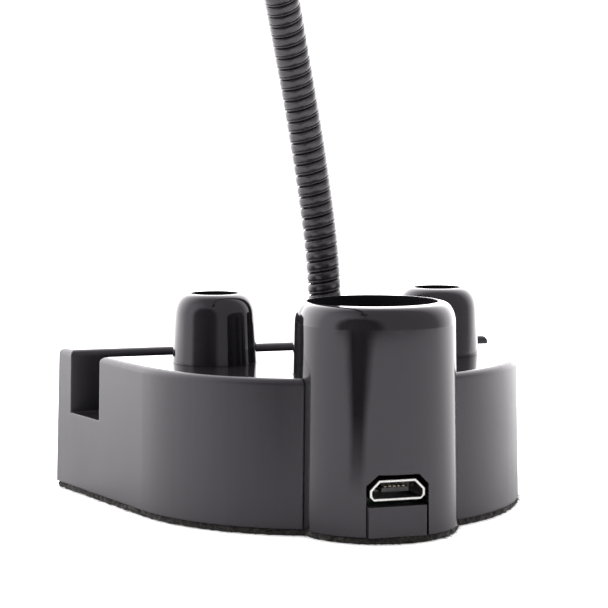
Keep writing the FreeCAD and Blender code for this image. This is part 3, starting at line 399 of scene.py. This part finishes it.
def finish_material(name, colour, rough, metal=0.0, grain_scale=2600.0, grain_depth=0.00001,
                    grain_rough=0.05, streak_rough=0.0, streak_tint=0.0, dust_amount=0.3,
                    edge_wear_and_highlight=0.35, edge_width=0.0005, smudge_rough=0.08, coat=0.0,
                    second_colour=None, specular=0.5, gloss_tint=(1.0, 1.0, 1.0),
                    soft_edge=0.00015, polished_top=0.0):
    """Builds one finish and returns the material."""
    material = bpy.data.materials.new(name)
    material.use_nodes = True
    tree = material.node_tree
    shader = tree.nodes["Principled BSDF"]
    shader.inputs["Metallic"].default_value = metal
    shader.inputs["Specular IOR Level"].default_value = specular
    shader.inputs["Specular Tint"].default_value = gloss_tint + (1.0,)
    shader.inputs["Coat Weight"].default_value = coat
    shader.inputs["Coat Roughness"].default_value = 0.08
    grain_mask = use_group(tree, grain, "Grain", Scale=grain_scale)
    smudge_mask = use_group(tree, smudge, "Smudge")
    dust_mask = use_group(tree, dust, "Dust", Amount=dust_amount)
    edge_wear_highlight_mask = use_group(tree, edges, "Edge", Width=edge_width)
    darker = tuple(c * 0.82 for c in colour) + (1.0,)
    lighter = tuple(second_colour or [c * 1.18 for c in colour]) + (1.0,)
    tint = colour_mix(tree, grain_mask, darker, lighter)
    roughness = maths(tree, "ADD", maths(tree, "MULTIPLY", grain_mask, grain_rough),
                      rough - grain_rough * 0.5)
    if streak_rough or streak_tint:
        streak_mask = use_group(tree, streaks, "Streak")
        pale = tuple(min(1.0, c * (1.0 + streak_tint)) for c in colour) + (1.0,)
        tint = colour_mix(tree, maths(tree, "MULTIPLY", streak_mask, STREAK_SHARE), tint, pale)
        roughness = maths(tree, "ADD", roughness,
                          maths(tree, "MULTIPLY", streak_mask, streak_rough))
    roughness = maths(tree, "ADD", roughness, maths(tree, "MULTIPLY", smudge_mask, smudge_rough))
    # Edges are lifted paler: partly rubbed wear and partly a painted highlight.
    lift = WEAR_HIGHLIGHT_PLASTIC if metal < 0.5 else WEAR_HIGHLIGHT_METAL
    worn_and_highlit = tuple(min(1.0, c + lift) for c in colour) + (1.0,)
    tint = colour_mix(tree, maths(tree, "MULTIPLY", edge_wear_highlight_mask, edge_wear_and_highlight), tint, worn_and_highlit)
    tint = colour_mix(tree, dust_mask, tint, DUST_GREY)
    roughness = maths(tree, "ADD", roughness, maths(tree, "MULTIPLY", dust_mask, DUST_ROUGH),
                      clamp=True)
    if polished_top:
        level = use_group(tree, tops, "Top")
        roughness = maths(tree, "MULTIPLY", roughness,
                          remap(tree, level, 0.0, 1.0, 1.0, polished_top))
    link(tree, tint, shader.inputs["Base Color"])
    link(tree, roughness, shader.inputs["Roughness"])
    bump = tree.nodes.new("ShaderNodeBump")
    bump.inputs["Strength"].default_value = 1.0
    bump.inputs["Distance"].default_value = grain_depth
    link(tree, grain_mask, bump.inputs["Height"])
    eased = tree.nodes.new("ShaderNodeBevel")
    eased.samples = 4
    eased.inputs["Radius"].default_value = soft_edge
    link(tree, eased.outputs[0], bump.inputs["Normal"])
    link(tree, bump.outputs[0], shader.inputs["Normal"])
    return material


def paint(material, *names):
    """Gives CAD parts a finish."""
    for name in names:
        mesh = nodes[name].data
        mesh.materials.clear()
        mesh.materials.append(material)
    return len(names)


print("finish helper ready")

# %% Plastics
BLACK_SHEEN = (1.0, 0.955, 1.04)
shell_satin = finish_material("shell_satin", (0.0115, 0.0105, 0.0125), 0.27, grain_scale=3200.0,
                              grain_depth=0.000006, grain_rough=0.08, streak_rough=0.09,
                              streak_tint=0.9, dust_amount=0.4, edge_wear_and_highlight=0.10, specular=0.49,
                              gloss_tint=BLACK_SHEEN, polished_top=0.12, soft_edge=0.00035)
cup_gloss = finish_material("cup_gloss", (0.0105, 0.0098, 0.0115), 0.05, grain_scale=1200.0,
                            grain_depth=0.0000012, grain_rough=0.02, dust_amount=0.25,
                            edge_wear_and_highlight=0.05, smudge_rough=0.05, gloss_tint=BLACK_SHEEN,
                            specular=0.45)
cover_satin = finish_material("cover_satin", (0.0125, 0.0115, 0.0135), 0.3, grain_scale=2600.0,
                              grain_depth=0.000012, grain_rough=0.1, dust_amount=0.3,
                              edge_wear_and_highlight=0.1, gloss_tint=BLACK_SHEEN)
inlet_black = finish_material("inlet_black", (0.012, 0.012, 0.013), 0.4, dust_amount=0.1)
chip_black = finish_material("chip_black", (0.02, 0.02, 0.021), 0.5, grain_depth=0.00002)
ivory_nylon = finish_material("ivory_nylon", (0.62, 0.58, 0.48), 0.42)
print("painted:", paint(shell_satin, "base_shell")
      + paint(cup_gloss, "tool_cup", "post_left", "post_right")
      + paint(cover_satin, "bottom_cover")
      + paint(inlet_black, "power_socket_tongue")
      + paint(chip_black, "driver_chip", "power_choke")
      + paint(ivory_nylon, "lead_terminal"))

# %% Metals, board and lamp parts
socket_bright = finish_material("socket_bright", (0.56, 0.56, 0.54), 0.24, metal=1.0,
                                grain_scale=5200.0, grain_depth=0.000004, dust_amount=0.15)
# Painted shade: a darker copy of the socket metal for the shell's inner walls.
socket_painted_shade = finish_material("socket_painted_shade", (0.055, 0.055, 0.055), 0.42, metal=0.6,
                                grain_scale=5200.0, specular=0.3)
screw_zinc = finish_material("screw_zinc", (0.5, 0.5, 0.51), 0.34, metal=1.0)
ballast_zinc = finish_material("ballast_zinc", (0.42, 0.42, 0.43), 0.4, metal=1.0,
                               streak_rough=0.1)
contact_gold = finish_material("contact_gold", (0.50, 0.44, 0.33), 0.35, metal=1.0)
arm_black = finish_material("arm_black", (0.017, 0.0155, 0.017), 0.28, grain_scale=1700.0,
                            grain_depth=0.000006, grain_rough=0.10, dust_amount=0.5,
                            edge_wear_and_highlight=0.22, edge_width=0.0002, specular=0.6,
                            gloss_tint=BLACK_SHEEN, soft_edge=0.00004)
fitting_black = finish_material("fitting_black", (0.03, 0.03, 0.031), 0.3, metal=0.35,
                                grain_scale=2200.0, edge_wear_and_highlight=0.3)
lamp_anodised = finish_material("lamp_anodised", (0.028, 0.028, 0.03), 0.34, metal=0.5,
                                grain_scale=5200.0, grain_depth=0.00001, edge_wear_and_highlight=0.35)
clip_nickel = finish_material("clip_nickel", (0.44, 0.43, 0.41), 0.24, metal=1.0,
                              grain_scale=1500.0, grain_depth=0.000006, streak_rough=0.08,
                              dust_amount=0.15, edge_wear_and_highlight=0.5, edge_width=0.0003)
board_green = finish_material("board_green", (0.006, 0.045, 0.02), 0.3, coat=0.5)
lamp_board_white = finish_material("lamp_board_white", (0.74, 0.74, 0.72), 0.35)
lamp_chip_yellow = finish_material("lamp_chip_yellow", (0.80, 0.62, 0.12), 0.35)
ceramic_tan = finish_material("ceramic_tan", (0.42, 0.30, 0.19), 0.4)
lead_black = finish_material("lead_black", (0.015, 0.015, 0.016), 0.5)
print("painted:", paint(socket_bright, "power_socket_shell")
      + paint(screw_zinc, "post_screws", "post_washers", "cover_screws", "ballast_screws",
              "board_screws", "arm_washer", "arm_nut", "ferrule_screw")
      + paint(ballast_zinc, "ballast_plate") + paint(contact_gold, "power_socket_contacts")
      + paint(fitting_black, "arm_bushing", "arm_ferrule")
      + paint(lamp_anodised, "lamp_housing")
      + paint(clip_nickel, "clip_rod", "clip_lower_jaw", "clip_upper_jaw", "clip_pin")
      + paint(board_green, "circuit_board") + paint(lamp_board_white, "lamp_board")
      + paint(lamp_chip_yellow, "lamp_leds")
      + paint(ceramic_tan, "board_capacitors", "board_resistors")
      + paint(lead_black, "lamp_lead"))

# %% [markdown]
# The power socket's shell looks bright only on its front rim. Its inner walls see nothing but
# black plastic, so they get painted shade, a darker copy of the metal, chosen by how each face
# points.

# %% Bright rim, painted shade inside
FRONT_FACING = -0.6
socket_mesh = nodes["power_socket_shell"].data
socket_mesh.materials.append(socket_painted_shade)
for face in socket_mesh.polygons:
    face.material_index = 0 if face.normal.y < FRONT_FACING else 1
print("socket rim faces:", sum(face.material_index == 0 for face in socket_mesh.polygons))

# %% [markdown]
# The lamp's window is frosted acrylic. Glass keeps plain values on its shader and takes its
# frosting from roughness alone.

# %% Frosted window
window_clear = bpy.data.materials.new("window_clear")
window_clear.use_nodes = True
tree = window_clear.node_tree
shader = tree.nodes["Principled BSDF"]
shader.inputs["Base Color"].default_value = (0.95, 0.96, 0.95, 1.0)
shader.inputs["Transmission Weight"].default_value = 1.0
shader.inputs["IOR"].default_value = 1.49
frost = use_group(tree, grain, "Grain", Scale=1800.0)
frost_rough = maths(tree, "ADD", maths(tree, "MULTIPLY", frost, 0.2), 0.22)
link(tree, frost_rough, shader.inputs["Roughness"])
print("painted:", paint(window_clear, "lamp_window"))

# %% [markdown]
# ## The flexible arm
#
# A gooseneck is a steel strip wound like a spring: a broad crowned turn, a dark groove, a
# narrow turn and another groove, over and over. Sweeping a real strip along a curve would
# leave hundreds of overlapping ends, so each piece here is one skin whose radius follows the
# strip's section while its rows climb as they go round. Rows that climb with the winding keep
# the grooves sharp with few vertices.
#
# The arm has to bend at every hinge, so one piece spans each hinge, from the middle of one
# stretch to the middle of the next, and the seams lie in the bottom of a groove.

# %% The line that the arm follows
hinges = [j for j in frame["record"]["behaviour"]["joints"] if j["name"].startswith("arm_bend")]
hinge_spots = [Vector(j["pos_m"]) for j in hinges]
root_low, root_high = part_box("arm_coil_root")
foot = Vector((0.0, 0.0, root_low.z))
jaw_joint = [j for j in frame["record"]["behaviour"]["joints"] if j["name"] == "clip_jaw"][0]
jaw_axis = Vector(jaw_joint["axis"])


def tip_direction():
    """The lamp's axis runs from the last hinge through the middle of its housing."""
    low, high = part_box("clip_rod")
    return ((low + high) / 2 - hinge_spots[-1]).normalized()


STEP = (hinge_spots[1] - hinge_spots[0]).length
STRIP_PAST_HINGE = 12.5 * MM
tip_axis = tip_direction()
tip_end = hinge_spots[-1] + tip_axis * STEP
route = [foot] + hinge_spots + [tip_end]
print("arm hinges:", len(hinge_spots), "step", round(STEP / MM, 1), "mm")


def corner_curve(before, corner, after, share):
    """A point on the smooth bend that touches both stretches at their middles."""
    first = before.lerp(corner, share)
    second = corner.lerp(after, share)
    return first.lerp(second, share)


def arm_spans():
    """One list of centre points per hinge, from mid stretch to mid stretch."""
    middles = [(a + b) / 2 for a, b in zip(route, route[1:])]
    middles[0] = hinge_spots[0] - Vector((0, 0, STEP / 2))
    spans = []
    for i, corner in enumerate(hinge_spots):
        before, after = middles[i], middles[i + 1]
        span = [corner_curve(before, corner, after, k / 40) for k in range(41)]
        if i == 0:
            span = [foot.lerp(before, k / 20) for k in range(20)] + span
        if i == len(hinge_spots) - 1:
            strip_end = hinge_spots[-1] + tip_axis * STRIP_PAST_HINGE
            span += [after.lerp(strip_end, k / 8) for k in range(1, 9)]
        spans.append(span)
    return spans


spans = arm_spans()
print("spans:", len(spans), "first has", len(spans[0]), "points")

# %% The strip's section
PITCH = 1.62 * MM
AROUND = 64
# share of one turn, and how far the surface stands inside the arm's outer radius
SECTION = [(0.00, 0.50), (0.035, 0.30), (0.055, 0.10), (0.085, 0.03), (0.13, 0.0), (0.175, 0.03),
           (0.205, 0.09), (0.225, 0.20), (0.25, 0.20), (0.27, 0.07), (0.32, 0.03), (0.45, 0.01),
           (0.62, 0.0), (0.78, 0.02), (0.86, 0.06), (0.91, 0.16), (0.94, 0.40)]
OUTER, INNER = (root_high.x - root_low.x) / 2, 1.5 * MM


print("pitch", PITCH / MM, "mm, section points", len(SECTION))

# %% Walking along the arm
def measure(span):
    """Distance along the centre line at each of its points."""
    lengths = [0.0]
    for a, b in zip(span, span[1:]):
        lengths.append(lengths[-1] + (b - a).length)
    return lengths


def frames_along(points):
    """Twist-free axes at each point: a start axis is carried along without spinning."""
    side = Vector((1, 0, 0))
    carried = []
    for i, point in enumerate(points):
        ahead = points[min(i + 1, len(points) - 1)] - points[max(i - 1, 0)]
        ahead.normalize()
        side = (side - ahead * side.dot(ahead)).normalized()
        carried.append((point, side.copy(), ahead.cross(side)))
    return carried


whole_line = [p for span in spans[:-1] for p in span[:-1]] + spans[-1]
whole_length = measure(whole_line)
whole_frames = frames_along(whole_line)


def on_line(distance):
    """Centre and two cross axes at a distance along the whole arm."""
    distance = min(max(distance, 0.0), whole_length[-1])
    low, high = 0, len(whole_length) - 1
    while high - low > 1:
        middle = (low + high) // 2
        if whole_length[middle] <= distance:
            low = middle
        else:
            high = middle
    share = (distance - whole_length[low]) / max(whole_length[high] - whole_length[low], 1e-9)
    a, b = whole_frames[low], whole_frames[high]
    return tuple(a[k].lerp(b[k], share) for k in range(3))


def ring_point(distance, angle, radius):
    centre, side, other = on_line(distance)
    return centre + (side * math.cos(angle) + other * math.sin(angle)) * radius


print("whole arm line:", len(whole_line), "points,", round(whole_length[-1] / MM, 1), "mm")

# %% One piece of wound strip
def wound_piece(name, start, end):
    """A closed skin of wound strip between two distances along the arm."""
    first = round(start / PITCH)
    turns = max(1, round(end / PITCH) - first)
    shape = bmesh.new()
    per_turn = len(SECTION)
    outer_rows = turns * per_turn
    points = {}

    def outer(row, step):
        """Rows climb one pitch in going round, so a row runs on into the next turn's."""
        if step == AROUND:
            row, step = row + per_turn, 0
        if ("outer", row, step) not in points:
            turn, part = divmod(row, per_turn)
            share, depth = SECTION[part]
            climb = (first + turn + share + step / AROUND) * PITCH
            angle = math.tau * step / AROUND
            reach = OUTER - depth * MM
            points["outer", row, step] = shape.verts.new(ring_point(climb, angle, reach))
        return points["outer", row, step]

    def inner(row, step):
        if step == AROUND:
            row, step = row + 1, 0
        if ("inner", row, step) not in points:
            climb = (first + row + step / AROUND) * PITCH
            points["inner", row, step] = shape.verts.new(
                ring_point(climb, math.tau * step / AROUND, INNER))
        return points["inner", row, step]

    for step in range(AROUND):
        for row in range(outer_rows):
            shape.faces.new((outer(row, step), outer(row, step + 1), outer(row + 1, step + 1),
                             outer(row + 1, step)))
        for row in range(turns):
            shape.faces.new((inner(row, step), inner(row + 1, step), inner(row + 1, step + 1),
                             inner(row, step + 1)))
        shape.faces.new((outer(0, step), inner(0, step), inner(0, step + 1), outer(0, step + 1)))
        shape.faces.new((outer(outer_rows, step), outer(outer_rows, step + 1),
                         inner(turns, step + 1), inner(turns, step)))
    shape.faces.new([outer(row, 0) for row in range(per_turn, -1, -1)]
                    + [inner(0, 0), inner(1, 0)])
    shape.faces.new([outer(outer_rows + row, 0) for row in range(per_turn + 1)]
                    + [inner(turns + 1, 0), inner(turns, 0)])
    return finish_mesh(name, shape, arm_black)


def finish_mesh(name, shape, material, sharp=60.0):
    """Turns a bmesh into an object with outward faces, smooth shading and one material."""
    bmesh.ops.recalc_face_normals(shape, faces=shape.faces)
    for face in shape.faces:
        face.smooth = True
    for edge in shape.edges:
        if len(edge.link_faces) == 2 and edge.calc_face_angle(0.0) > math.radians(sharp):
            edge.smooth = False
    mesh = bpy.data.meshes.new(name)
    shape.to_mesh(mesh)
    shape.free()
    mesh.materials.append(material)
    piece = bpy.data.objects.new(name, mesh)
    bpy.context.collection.objects.link(piece)
    return piece


print("strip helper ready")

# %% Wind the seven pieces, each over its hinge
seams = [0.0]
for span in spans:
    seams.append(seams[-1] + measure(span)[-1])
covered = [["arm_coil_root", "arm_coil_1"]] + [["arm_coil_%d" % k] for k in range(2, 7)]
covered.append(["arm_coil_tip"])


def bend_over_hinge(piece):
    """Bakes the piece's placement into its mesh."""
    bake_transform(piece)


for k in range(len(hinges)):
    piece = wound_piece("wound_strip_%d" % (k + 1), seams[k], seams[k + 1])
    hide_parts(*covered[k])
    bend_over_hinge(piece)
print("wound pieces:", len(hinges), "arm length", round(seams[-1] / MM, 1), "mm")

# %% [markdown]
# The lamp's lead runs inside the strip. It can be seen only at the ends, so a plain smooth
# tube is enough; it is split at the same places as the strip.

# %% The lead inside the arm
LEAD_RADIUS = 0.9 * MM


def lead_piece(name, start, end, radius, sides=20, rows=18):
    shape = bmesh.new()
    rings = []
    for r in range(rows + 1):
        place = start + (end - start) * r / rows
        rings.append([shape.verts.new(ring_point(place, math.tau * k / sides, radius))
                      for k in range(sides)])
    for low, high in zip(rings, rings[1:]):
        for k in range(sides):
            shape.faces.new((low[k], low[(k + 1) % sides], high[(k + 1) % sides], high[k]))
    shape.faces.new(list(reversed(rings[0])))
    shape.faces.new(rings[-1])
    return finish_mesh(name, shape, lead_black)


lead_nodes = [["arm_lead_root", "arm_lead_1"]] + [["arm_lead_%d" % k] for k in range(2, 7)]
lead_nodes.append(["arm_lead_tip"])
for k in range(len(hinges)):
    piece = lead_piece("lamp_lead_%d" % (k + 1), seams[k], seams[k + 1], LEAD_RADIUS)
    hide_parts(*lead_nodes[k])
    bend_over_hinge(piece)
print("lead pieces:", len(hinges))

# %% [markdown]
# ## The felt under the base
#
# Felt is matted fibre, so its cut edge is never clean. Particle hair would be the quick way,
# but it doesn't survive an export. Here the pad's own outline is walked in short steps, each
# pushed in or out a little, and thin bent fibres are planted around it as plain geometry.

# %% The pad's outline, walked in even steps
def outline_of(node, height):
    """The outer loop of a CAD part's vertices at one height, in order, as (x, y) points."""
    shape = bmesh.new()
    shape.from_mesh(nodes[node].data)
    bmesh.ops.remove_doubles(shape, verts=shape.verts, dist=0.00001)
    rims = [e for e in shape.edges if all(abs(v.co.z - height) < 0.00002 for v in e.verts)
            and any(abs(f.normal.z) < 0.5 for f in e.link_faces)]
    links = {}
    for edge in rims:
        a, b = edge.verts
        links.setdefault(a, []).append(b)
        links.setdefault(b, []).append(a)
    start = max(links, key=lambda v: v.co.y)
    path, previous = [start], None
    while True:
        options = [v for v in links[path[-1]] if v is not previous]
        previous = path[-1]
        if not options or options[0] is start:
            break
        path.append(options[0])
    points = [Vector((v.co.x, v.co.y)) for v in path]
    shape.free()
    return points


def even_steps(points, step):
    """The closed outline again, with a point every step."""
    closed = points + [points[0]]
    total = sum((b - a).length for a, b in zip(closed, closed[1:]))
    count = int(total / step)
    spots, index, passed = [], 0, 0.0
    for k in range(count):
        target = total * k / count
        while passed + (closed[index + 1] - closed[index]).length < target:
            passed += (closed[index + 1] - closed[index]).length
            index += 1
        run = closed[index + 1] - closed[index]
        spots.append(closed[index] + run * ((target - passed) / max(run.length, 1e-9)))
    return spots


FELT_STEP = 0.22 * MM
felt_low, felt_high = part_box("felt_pad")
felt_edge = even_steps(outline_of("felt_pad", felt_low.z), FELT_STEP)
area = sum(a.x * b.y - b.x * a.y for a, b in zip(felt_edge, felt_edge[1:] + felt_edge[:1])) / 2
if area < 0:
    felt_edge.reverse()
print("felt edge points:", len(felt_edge), "area", round(abs(area) * 1e4, 1), "square cm")

# %% The felt's own finish
felt_grey = bpy.data.materials.new("felt_charcoal")
felt_grey.use_nodes = True
tree = felt_grey.node_tree
shader = tree.nodes["Principled BSDF"]
shader.inputs["Roughness"].default_value = 0.95
shader.inputs["Specular IOR Level"].default_value = 0.2
shader.inputs["Sheen Weight"].default_value = 0.25
shader.inputs["Sheen Roughness"].default_value = 0.5
wool = texture(tree, "ShaderNodeTexNoise", 2600.0, (1.0, 0.35, 1.0), 6.0).outputs["Fac"]
mat_patch = texture(tree, "ShaderNodeTexNoise", 260.0, detail=4.0).outputs["Fac"]
weight = maths(tree, "ADD", maths(tree, "MULTIPLY", remap(tree, wool, 0.35, 0.65), 0.7),
               maths(tree, "MULTIPLY", mat_patch, 0.3))
tint = colour_mix(tree, weight, (0.004, 0.0037, 0.0034, 1.0), (0.034, 0.031, 0.028, 1.0))
lint = use_group(tree, dust, "Dust", Amount=0.5, Scale=1300.0)
link(tree, colour_mix(tree, lint, tint, (0.2, 0.19, 0.17, 1.0)), shader.inputs["Base Color"])
bump = tree.nodes.new("ShaderNodeBump")
bump.inputs["Distance"].default_value = 0.00008
link(tree, wool, bump.inputs["Height"])
link(tree, bump.outputs[0], shader.inputs["Normal"])
print("felt finish ready")

# %% The pad with its ragged edge
rng = random.Random(7)
WAVE_PUSH, FUZZ_PUSH = 0.26, 0.30
# share of the pad's height, and how far its edge stands out there in millimetres
FELT_LEVELS = [(0.0, -0.30), (0.10, -0.05), (0.3, 0.06), (0.55, 0.08), (0.8, 0.04), (1.0, -0.25)]


def outward(points, k):
    run = points[(k + 1) % len(points)] - points[k - 1]
    return Vector((run.y, -run.x)).normalized()


shape = bmesh.new()
levels = []
for level, (share, push) in enumerate(FELT_LEVELS):
    height = felt_low.z + (felt_high.z - felt_low.z) * share
    ring = []
    for k, spot in enumerate(felt_edge):
        wave = noise.noise(Vector((spot.x, spot.y, level * 0.0004)) * 900.0)
        fuzz = noise.noise(Vector((spot.x, spot.y, level * 0.0009)) * 3200.0)
        shift = (push + WAVE_PUSH * wave + FUZZ_PUSH * fuzz) * MM
        place = spot + outward(felt_edge, k) * shift
        ring.append(shape.verts.new((place.x, place.y, height)))
    levels.append(ring)
count = len(felt_edge)
for low, high in zip(levels, levels[1:]):
    for k in range(count):
        shape.faces.new((low[k], low[(k + 1) % count], high[(k + 1) % count], high[k]))
shape.faces.new(list(reversed(levels[0])))
shape.faces.new(levels[-1])
felt = finish_mesh("felt_sheet", shape, felt_grey, sharp=80.0)
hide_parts("felt_pad")
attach(felt, "base")
print("felt pad vertices:", len(felt.data.vertices))

# %% Loose fibres around the pad
def plant_fibre(shape, root, heading, length, drop, thick):
    """A thin three-sided hair that leaves the edge and bends down or up."""
    rings = []
    side = Vector((-heading.y, heading.x, 0.0))
    for step in range(4):
        share = step / 3
        centre = root + heading * (length * share) + Vector((0, 0, drop * share * share))
        centre += side * (length * 0.25 * math.sin(share * 3.0 + root.x * 9000.0))
        centre.z = min(max(centre.z, felt_low.z + thick), felt_high.z + 0.0002)
        size = thick * (1.0 - 0.6 * share)
        corners = [side * math.cos(a) + Vector((0, 0, math.sin(a))) for a in (0.5, 2.6, 4.7)]
        rings.append([shape.verts.new(centre + corner * size) for corner in corners])
    for low, high in zip(rings, rings[1:]):
        for k in range(3):
            shape.faces.new((low[k], low[(k + 1) % 3], high[(k + 1) % 3], high[k]))
    shape.faces.new(list(reversed(rings[0])))
    shape.faces.new(rings[-1])


STRANDS = 3
shape = bmesh.new()
for k, spot in enumerate(felt_edge):
    for _ in range(STRANDS):
        out = outward(felt_edge, k)
        turn_by = rng.uniform(-1.1, 1.1)
        heading = Vector((out.x * math.cos(turn_by) - out.y * math.sin(turn_by),
                          out.x * math.sin(turn_by) + out.y * math.cos(turn_by), 0.0))
        height = felt_low.z + rng.uniform(0.08, 0.95) * (felt_high.z - felt_low.z)
        root = Vector((spot.x, spot.y, height)) - Vector((out.x, out.y, 0.0)) * 0.1 * MM
        plant_fibre(shape, root, heading, rng.uniform(0.25, 0.95) * MM,
                    rng.uniform(-0.45, 0.2) * MM, rng.uniform(0.014, 0.03) * MM)
fibres = finish_mesh("felt_fibres", shape, felt_grey)
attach(fibres, "base")
print("fibres:", len(felt_edge) * STRANDS)

# %% [markdown]
# ## The clip's spring
#
# The clip is sprung shut by a few turns of wire round its pin, with one leg against each jaw.
# A curve with a round bevel is the natural way to draw wire, but its ends stay open, so the
# wire is swept here as rings along a helix and closed at both ends.

# %% A swept wire
def sweep_wire(name, points, radius, material, sides=10):
    shape = bmesh.new()
    rings = []
    for centre, across, other in frames_along(points):
        rings.append([shape.verts.new(centre + (across * math.cos(math.tau * k / sides)
                                                + other * math.sin(math.tau * k / sides)) * radius)
                      for k in range(sides)])
    for low, high in zip(rings, rings[1:]):
        for k in range(sides):
            shape.faces.new((low[k], low[(k + 1) % sides], high[(k + 1) % sides], high[k]))
    shape.faces.new(list(reversed(rings[0])))
    shape.faces.new(rings[-1])
    return finish_mesh(name, shape, material)


pin_centre = Vector(jaw_joint["pos_m"])
across_clip = -jaw_axis.normalized()
up_clip = tip_axis.cross(across_clip).normalized()
if up_clip.z < 0:
    up_clip = -up_clip


def clip_point(x, y, z):
    """A point by the clip: across, upwards and forwards from its pin, in millimetres."""
    return pin_centre + (across_clip * x + up_clip * y + tip_axis * z) * MM


WIRE_TURNS, WIRE_REACH, WIRE_RADIUS, WIRE_SIDE = 4.5, 1.2, 0.28, 1.1
TURN_STEPS = 28
coil_start = clip_point(WIRE_SIDE, WIRE_REACH, 0.0)
wire = [clip_point(WIRE_SIDE, 2.1, -5.8).lerp(coil_start, k / 8) for k in range(8)]
for k in range(int(WIRE_TURNS * TURN_STEPS) + 1):
    angle = math.tau * k / TURN_STEPS
    across = WIRE_SIDE - 2.0 * WIRE_SIDE * k / (WIRE_TURNS * TURN_STEPS)
    wire.append(clip_point(across, WIRE_REACH * math.cos(angle), WIRE_REACH * math.sin(angle)))
wire += [wire[-1].lerp(clip_point(-WIRE_SIDE, -2.3, -5.0), k / 8) for k in range(1, 9)]
spring = sweep_wire("clip_wire_spring", wire, WIRE_RADIUS * MM, clip_nickel)
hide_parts("clip_spring")
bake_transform(spring)
print("spring points:", len(wire))
